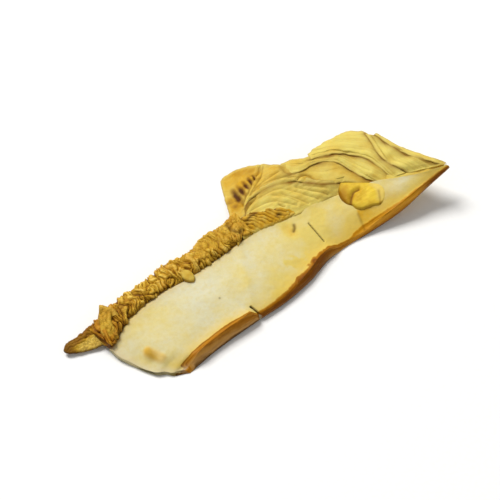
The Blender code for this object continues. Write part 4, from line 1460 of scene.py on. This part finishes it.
@dataclass
class FoldedLobe:
    """A small lobe of gill folded over onto the flesh: a low dome with an uneven outline."""

    name: str
    outline: Line
    height: float
    valleys: tuple[tuple[Line, float], ...] = ()
    tone: float = 0.8
    seed: int = 60
    # Where the lobe runs into the flesh without an edge, and where it is browner.
    merges: Spot | None = None
    browned: Spot | None = None
    # How deep the lobe may lie in the flesh.
    sunk: float = 0.1
    round_steps: int = 120
    inward_steps: int = 36

    def build(self, finish: bpy.types.Material, ground: bpy.types.Object) -> bpy.types.Object:
        """Builds and dresses the lobe.

        Args:
            finish: The material of long gills.
            ground: The flesh that it lies on.

        Returns:
            The new object.
        """
        grain = Grain(self.seed)
        rim = self.outline.at(np.linspace(0, 1, self.round_steps, endpoint=False))
        reach = np.linspace(0.02, 1, self.inward_steps)
        grid = between(np.broadcast_to(rim.mean(axis=0), rim.shape), rim, reach)
        for place in np.ndindex(*grid.shape[:2]):
            x, y, _ = (grid[place] + CENTRING) * MM
            hit, spot, *_ = ground.ray_cast((x, y, 1.0), (0.0, 0.0, -1.0))
            if hit:
                grid[place][2] = max(grid[place][2], spot.z / MM - self.sunk)
        merge, browned = np.zeros(grid.shape[:2]), np.zeros(grid.shape[:2])
        if self.merges is not None:
            merge = ease(1.5 - np.linalg.norm(grid[..., :2] - self.merges, axis=-1) / 3.0)
        if self.browned is not None:
            browned = dip(np.linalg.norm(grid[..., :2] - self.browned, axis=-1), 1.9)
        dome = np.sqrt(np.clip(1 - reach**4, 0, 1)) * (1 - merge) + np.clip(1 - reach**3, 0, 1) * merge
        grid[..., 2] += self.height * dome * (1 - 0.25 * merge) - 0.35 * ease((reach - 0.9) / 0.1)
        # Painted shade in the valleys and along the outline, except where the lobe runs into the flesh.
        groove_shade = np.zeros(grid.shape[:2])
        for line, depth in self.valleys:
            near = line.distance(grid)
            grid[..., 2] -= depth * dip(near, 0.5) * dome
            groove_shade = np.maximum(groove_shade, (0.45 + 0.5 * (depth > 0.3)) * dip(near, 0.24))
        grid[..., 2] += (0.08 * grain.at(grid, 1.8, 2) + 0.03 * grain.at(grid, 0.5)) * dome
        edge = 2.5 * (1 - reach) * np.ones((len(rim), 1))
        marks = {
            "along": grid[..., 0], "across": grid[..., 1], "edge": 1.0 - merge * ease(1.6 - edge),
            "tone": np.clip(self.tone + 0.25 * grain.at(grid, 1.5, 2) - 0.3 * merge + 0.8 * browned, 0, 1),
            "groove_shade": np.clip(groove_shade + 0.8 * np.exp(-edge / 0.25) * (1 - merge) + 0.2 * browned, 0, 1),
        }
        # The rim goes on down into the flesh.
        foot = grid[:, -1:] - (0.0, 0.0, 0.9)
        rings = np.concatenate([grid, foot], axis=1).swapaxes(0, 1)
        marks = {key: np.concatenate([values, values[:, -1:]], axis=1).T for key, values in marks.items()}
        faces = closed_faces(*rings.shape[:2], turned=True)
        return Piece(self.name, rings, faces, marks).make(finish)


# A spike that stands up beside the tail and leans outward, and a strip that sweeps over the end of
# the short gills onto the tail: the left and the right edge of each.
SPIKE = (
    Line(((-34.4, -0.9, 2.6), (-33.7, -0.1, 3.6), (-33.1, 0.6, 4.4), (-32.7, 1.3, 4.9))),
    Line(((-30.2, -2.2, 4.2), (-30.5, -0.9, 4.6), (-31.4, 0.3, 4.8), (-32.6, 1.35, 4.9))),
)
STRIP = (
    Line((
        (-33.6, -0.2, 3.9), (-34.5, -2.0, 3.4), (-35.0, -3.8, 2.8), (-34.8, -5.2, 2.3), (-33.6, -6.0, 2.1))),
    Line((
        (-31.0, -0.8, 4.4), (-31.9, -2.2, 4.5), (-32.4, -3.7, 4.2), (-32.3, -5.0, 3.5), (-32.2, -5.9, 2.7))),
)
TOOTH = Line((
    (-0.9, 3.0, 4.0), (-1.2, 1.7, 3.4), (-1.45, 0.9, 3.1), (-0.9, 1.2, 3.1), (-0.1, 2.3, 3.5),
    (0.1, 3.1, 4.0), (-0.4, 3.4, 4.2), (-0.9, 3.0, 4.0)))
LAPPET = Line((
    (-15.2, 0.6, 4.2), (-13.8, 0.8, 4.1), (-12.7, 0.0, 3.7), (-12.5, -1.3, 3.4), (-13.2, -2.2, 3.3),
    (-14.2, -1.8, 3.5), (-15.0, -0.8, 3.8), (-15.2, 0.6, 4.2)))
PAD = Line((
    (23.4, 3.8, 4.1), (22.5, 2.6, 4.0), (22.0, 1.0, 3.7), (22.1, -0.4, 3.5), (22.6, -1.5, 3.5),
    (23.1, -2.1, 3.5), (23.4, -3.0, 3.4), (24.3, -3.8, 3.4), (25.4, -4.1, 3.6), (26.7, -4.4, 3.8),
    (28.1, -4.9, 4.0), (29.6, -4.4, 4.3), (30.4, -3.0, 4.6), (30.2, -1.5, 4.8), (28.7, 0.1, 4.8),
    (26.3, 1.8, 4.5), (24.8, 3.0, 4.2), (23.4, 3.8, 4.1)))
# Creases of the pad, each with its depth, where it runs into the flesh and where it is browner.
PAD_VALLEYS = (
    (Line(((22.7, -2.0), (23.8, -0.6), (24.7, 0.1), (25.8, 0.1))), 0.5),
    (Line(((28.9, -2.4), (28.6, -3.3), (28.0, -4.6))), 0.1),
)
PAD_MERGES = (30.4, -2.2)
PAD_BROWNED = (22.2, 0.6)


# The studio


class Light(Enum):
    """The soft lights: how far round and up each stands, in degrees, its size in metres and watts."""

    KEY = (-15.0, 55.0, 0.8, 41.0)
    FILL = (150.0, 40.0, 2.0, 3.0)


@dataclass
class Studio:
    """The pale floor, the soft lights and the camera."""

    azimuth: float = -30.0
    elevation: float = 55.0
    lens: float = 450.0
    sensor_mm: float = 36.0
    view_mm: float = 99.0
    aim: Point = (0.5, -0.6, 2.6)
    floor_size: float = 6.0
    floor_steps: int = 41
    floor_drop: float = 0.02
    light_distance: float = 2.0
    sky: str = "#FFFFFF"
    sky_strength: float = 0.34

    def floor(self) -> bpy.types.Object:
        """Lays the floor: a board that falls away softly along its edges.

        Returns:
            The floor's object.
        """
        steps = np.linspace(-1, 1, self.floor_steps)
        x, y = np.meshgrid(steps, steps, indexing="ij")
        far = np.maximum(np.abs(x), np.abs(y))
        z = -self.floor_drop * ease((far - 0.8) / 0.2)
        points = joined(x * self.floor_size / 2, y * self.floor_size / 2, z).reshape(-1, 3)
        mesh = bpy.data.meshes.new("floor")
        faces = grid_faces(self.floor_steps, self.floor_steps)[:, ::-1]
        mesh.from_pydata(points.tolist(), [], faces.tolist())
        mesh.shade_smooth()
        mesh.materials.append(CoatedBoard().material())
        board = bpy.data.objects.new("floor", mesh)
        bpy.context.scene.collection.objects.link(board)
        return board

    def direction(self, azimuth: float, elevation: float) -> Vector:
        """Returns the way from the slice to a place round and above it."""
        a, e = math.radians(azimuth), math.radians(elevation)
        return Vector((math.sin(a) * math.cos(e), math.cos(a) * math.cos(e), math.sin(e)))

    def lights(self) -> None:
        """Hangs the soft lights and sets the sky."""
        for light in Light:
            azimuth, elevation, size, watts = light.value
            lamp = bpy.data.lights.new(light.name.lower(), "AREA")
            lamp.shape, lamp.size, lamp.energy = "SQUARE", size, watts
            hung = bpy.data.objects.new(light.name.lower(), lamp)
            way = self.direction(azimuth, elevation)
            hung.location = way * self.light_distance
            hung.rotation_mode = "QUATERNION"
            hung.rotation_quaternion = way.to_track_quat("Z", "Y")
            bpy.context.scene.collection.objects.link(hung)
        world = bpy.data.worlds.new("studio")
        world.use_nodes = True
        sky = world.node_tree.nodes["Background"]
        sky.inputs["Color"].default_value = linear(self.sky)
        sky.inputs["Strength"].default_value = self.sky_strength
        bpy.context.scene.world = world

    def camera(self) -> None:
        """Sets up the camera: a long lens, looking down across the slice."""
        a, e = math.radians(self.azimuth), math.radians(self.elevation)
        back = Vector((math.sin(a) * math.cos(e), -math.cos(a) * math.cos(e), math.sin(e)))
        data = bpy.data.cameras.new("camera")
        data.lens, data.sensor_width = self.lens, self.sensor_mm
        data.clip_start, data.clip_end = 0.01, 20.0
        camera = bpy.data.objects.new("camera", data)
        distance = self.view_mm * MM * self.lens / self.sensor_mm
        camera.location = Vector(self.aim) * MM + back * distance
        camera.rotation_mode = "QUATERNION"
        camera.rotation_quaternion = back.to_track_quat("Z", "Y")
        bpy.context.scene.collection.objects.link(camera)
        bpy.context.scene.camera = camera

    def build(self) -> None:
        """Builds the whole studio."""
        self.floor()
        self.lights()
        self.camera()
        bpy.context.scene.view_settings.view_transform = "Standard"


def main() -> None:
    """Builds the slice and the studio."""
    logging.basicConfig(level=logging.INFO, format="%(name)s: %(message)s")
    flesh, long_gill = DriedCutFlesh().material(), DriedLongGill().material()
    short_gill = DriedShortGill().material()
    slab = FleshSlab().build(flesh)
    ShortGillRow().build(short_gill)
    Comb().build(long_gill)
    LongGillFan().build(long_gill)
    TailLeaf().build(short_gill)
    Sliver("spike", *SPIKE, ribs=2, light=0.62).build(short_gill)
    Sliver("strip", *STRIP, ribs=3, light=0.5).build(short_gill)
    folded = DriedLongGill(
        "folded_gill", pale="#EACA40", gold="#B8820C", rim="#DFC670", vein="#B88718",
    ).material()
    FoldedLobe("lappet", LAPPET, 0.5, tone=0.6, seed=61).build(long_gill, slab)
    FoldedLobe("tooth", TOOTH, 0.25, tone=0.7, seed=62).build(long_gill, slab)
    pad = FoldedLobe("pad", PAD, 0.6, PAD_VALLEYS, tone=0.2, seed=63, merges=PAD_MERGES, browned=PAD_BROWNED)
    pad.build(folded, slab)
    Studio().build()


if __name__ == "__main__":
    main()
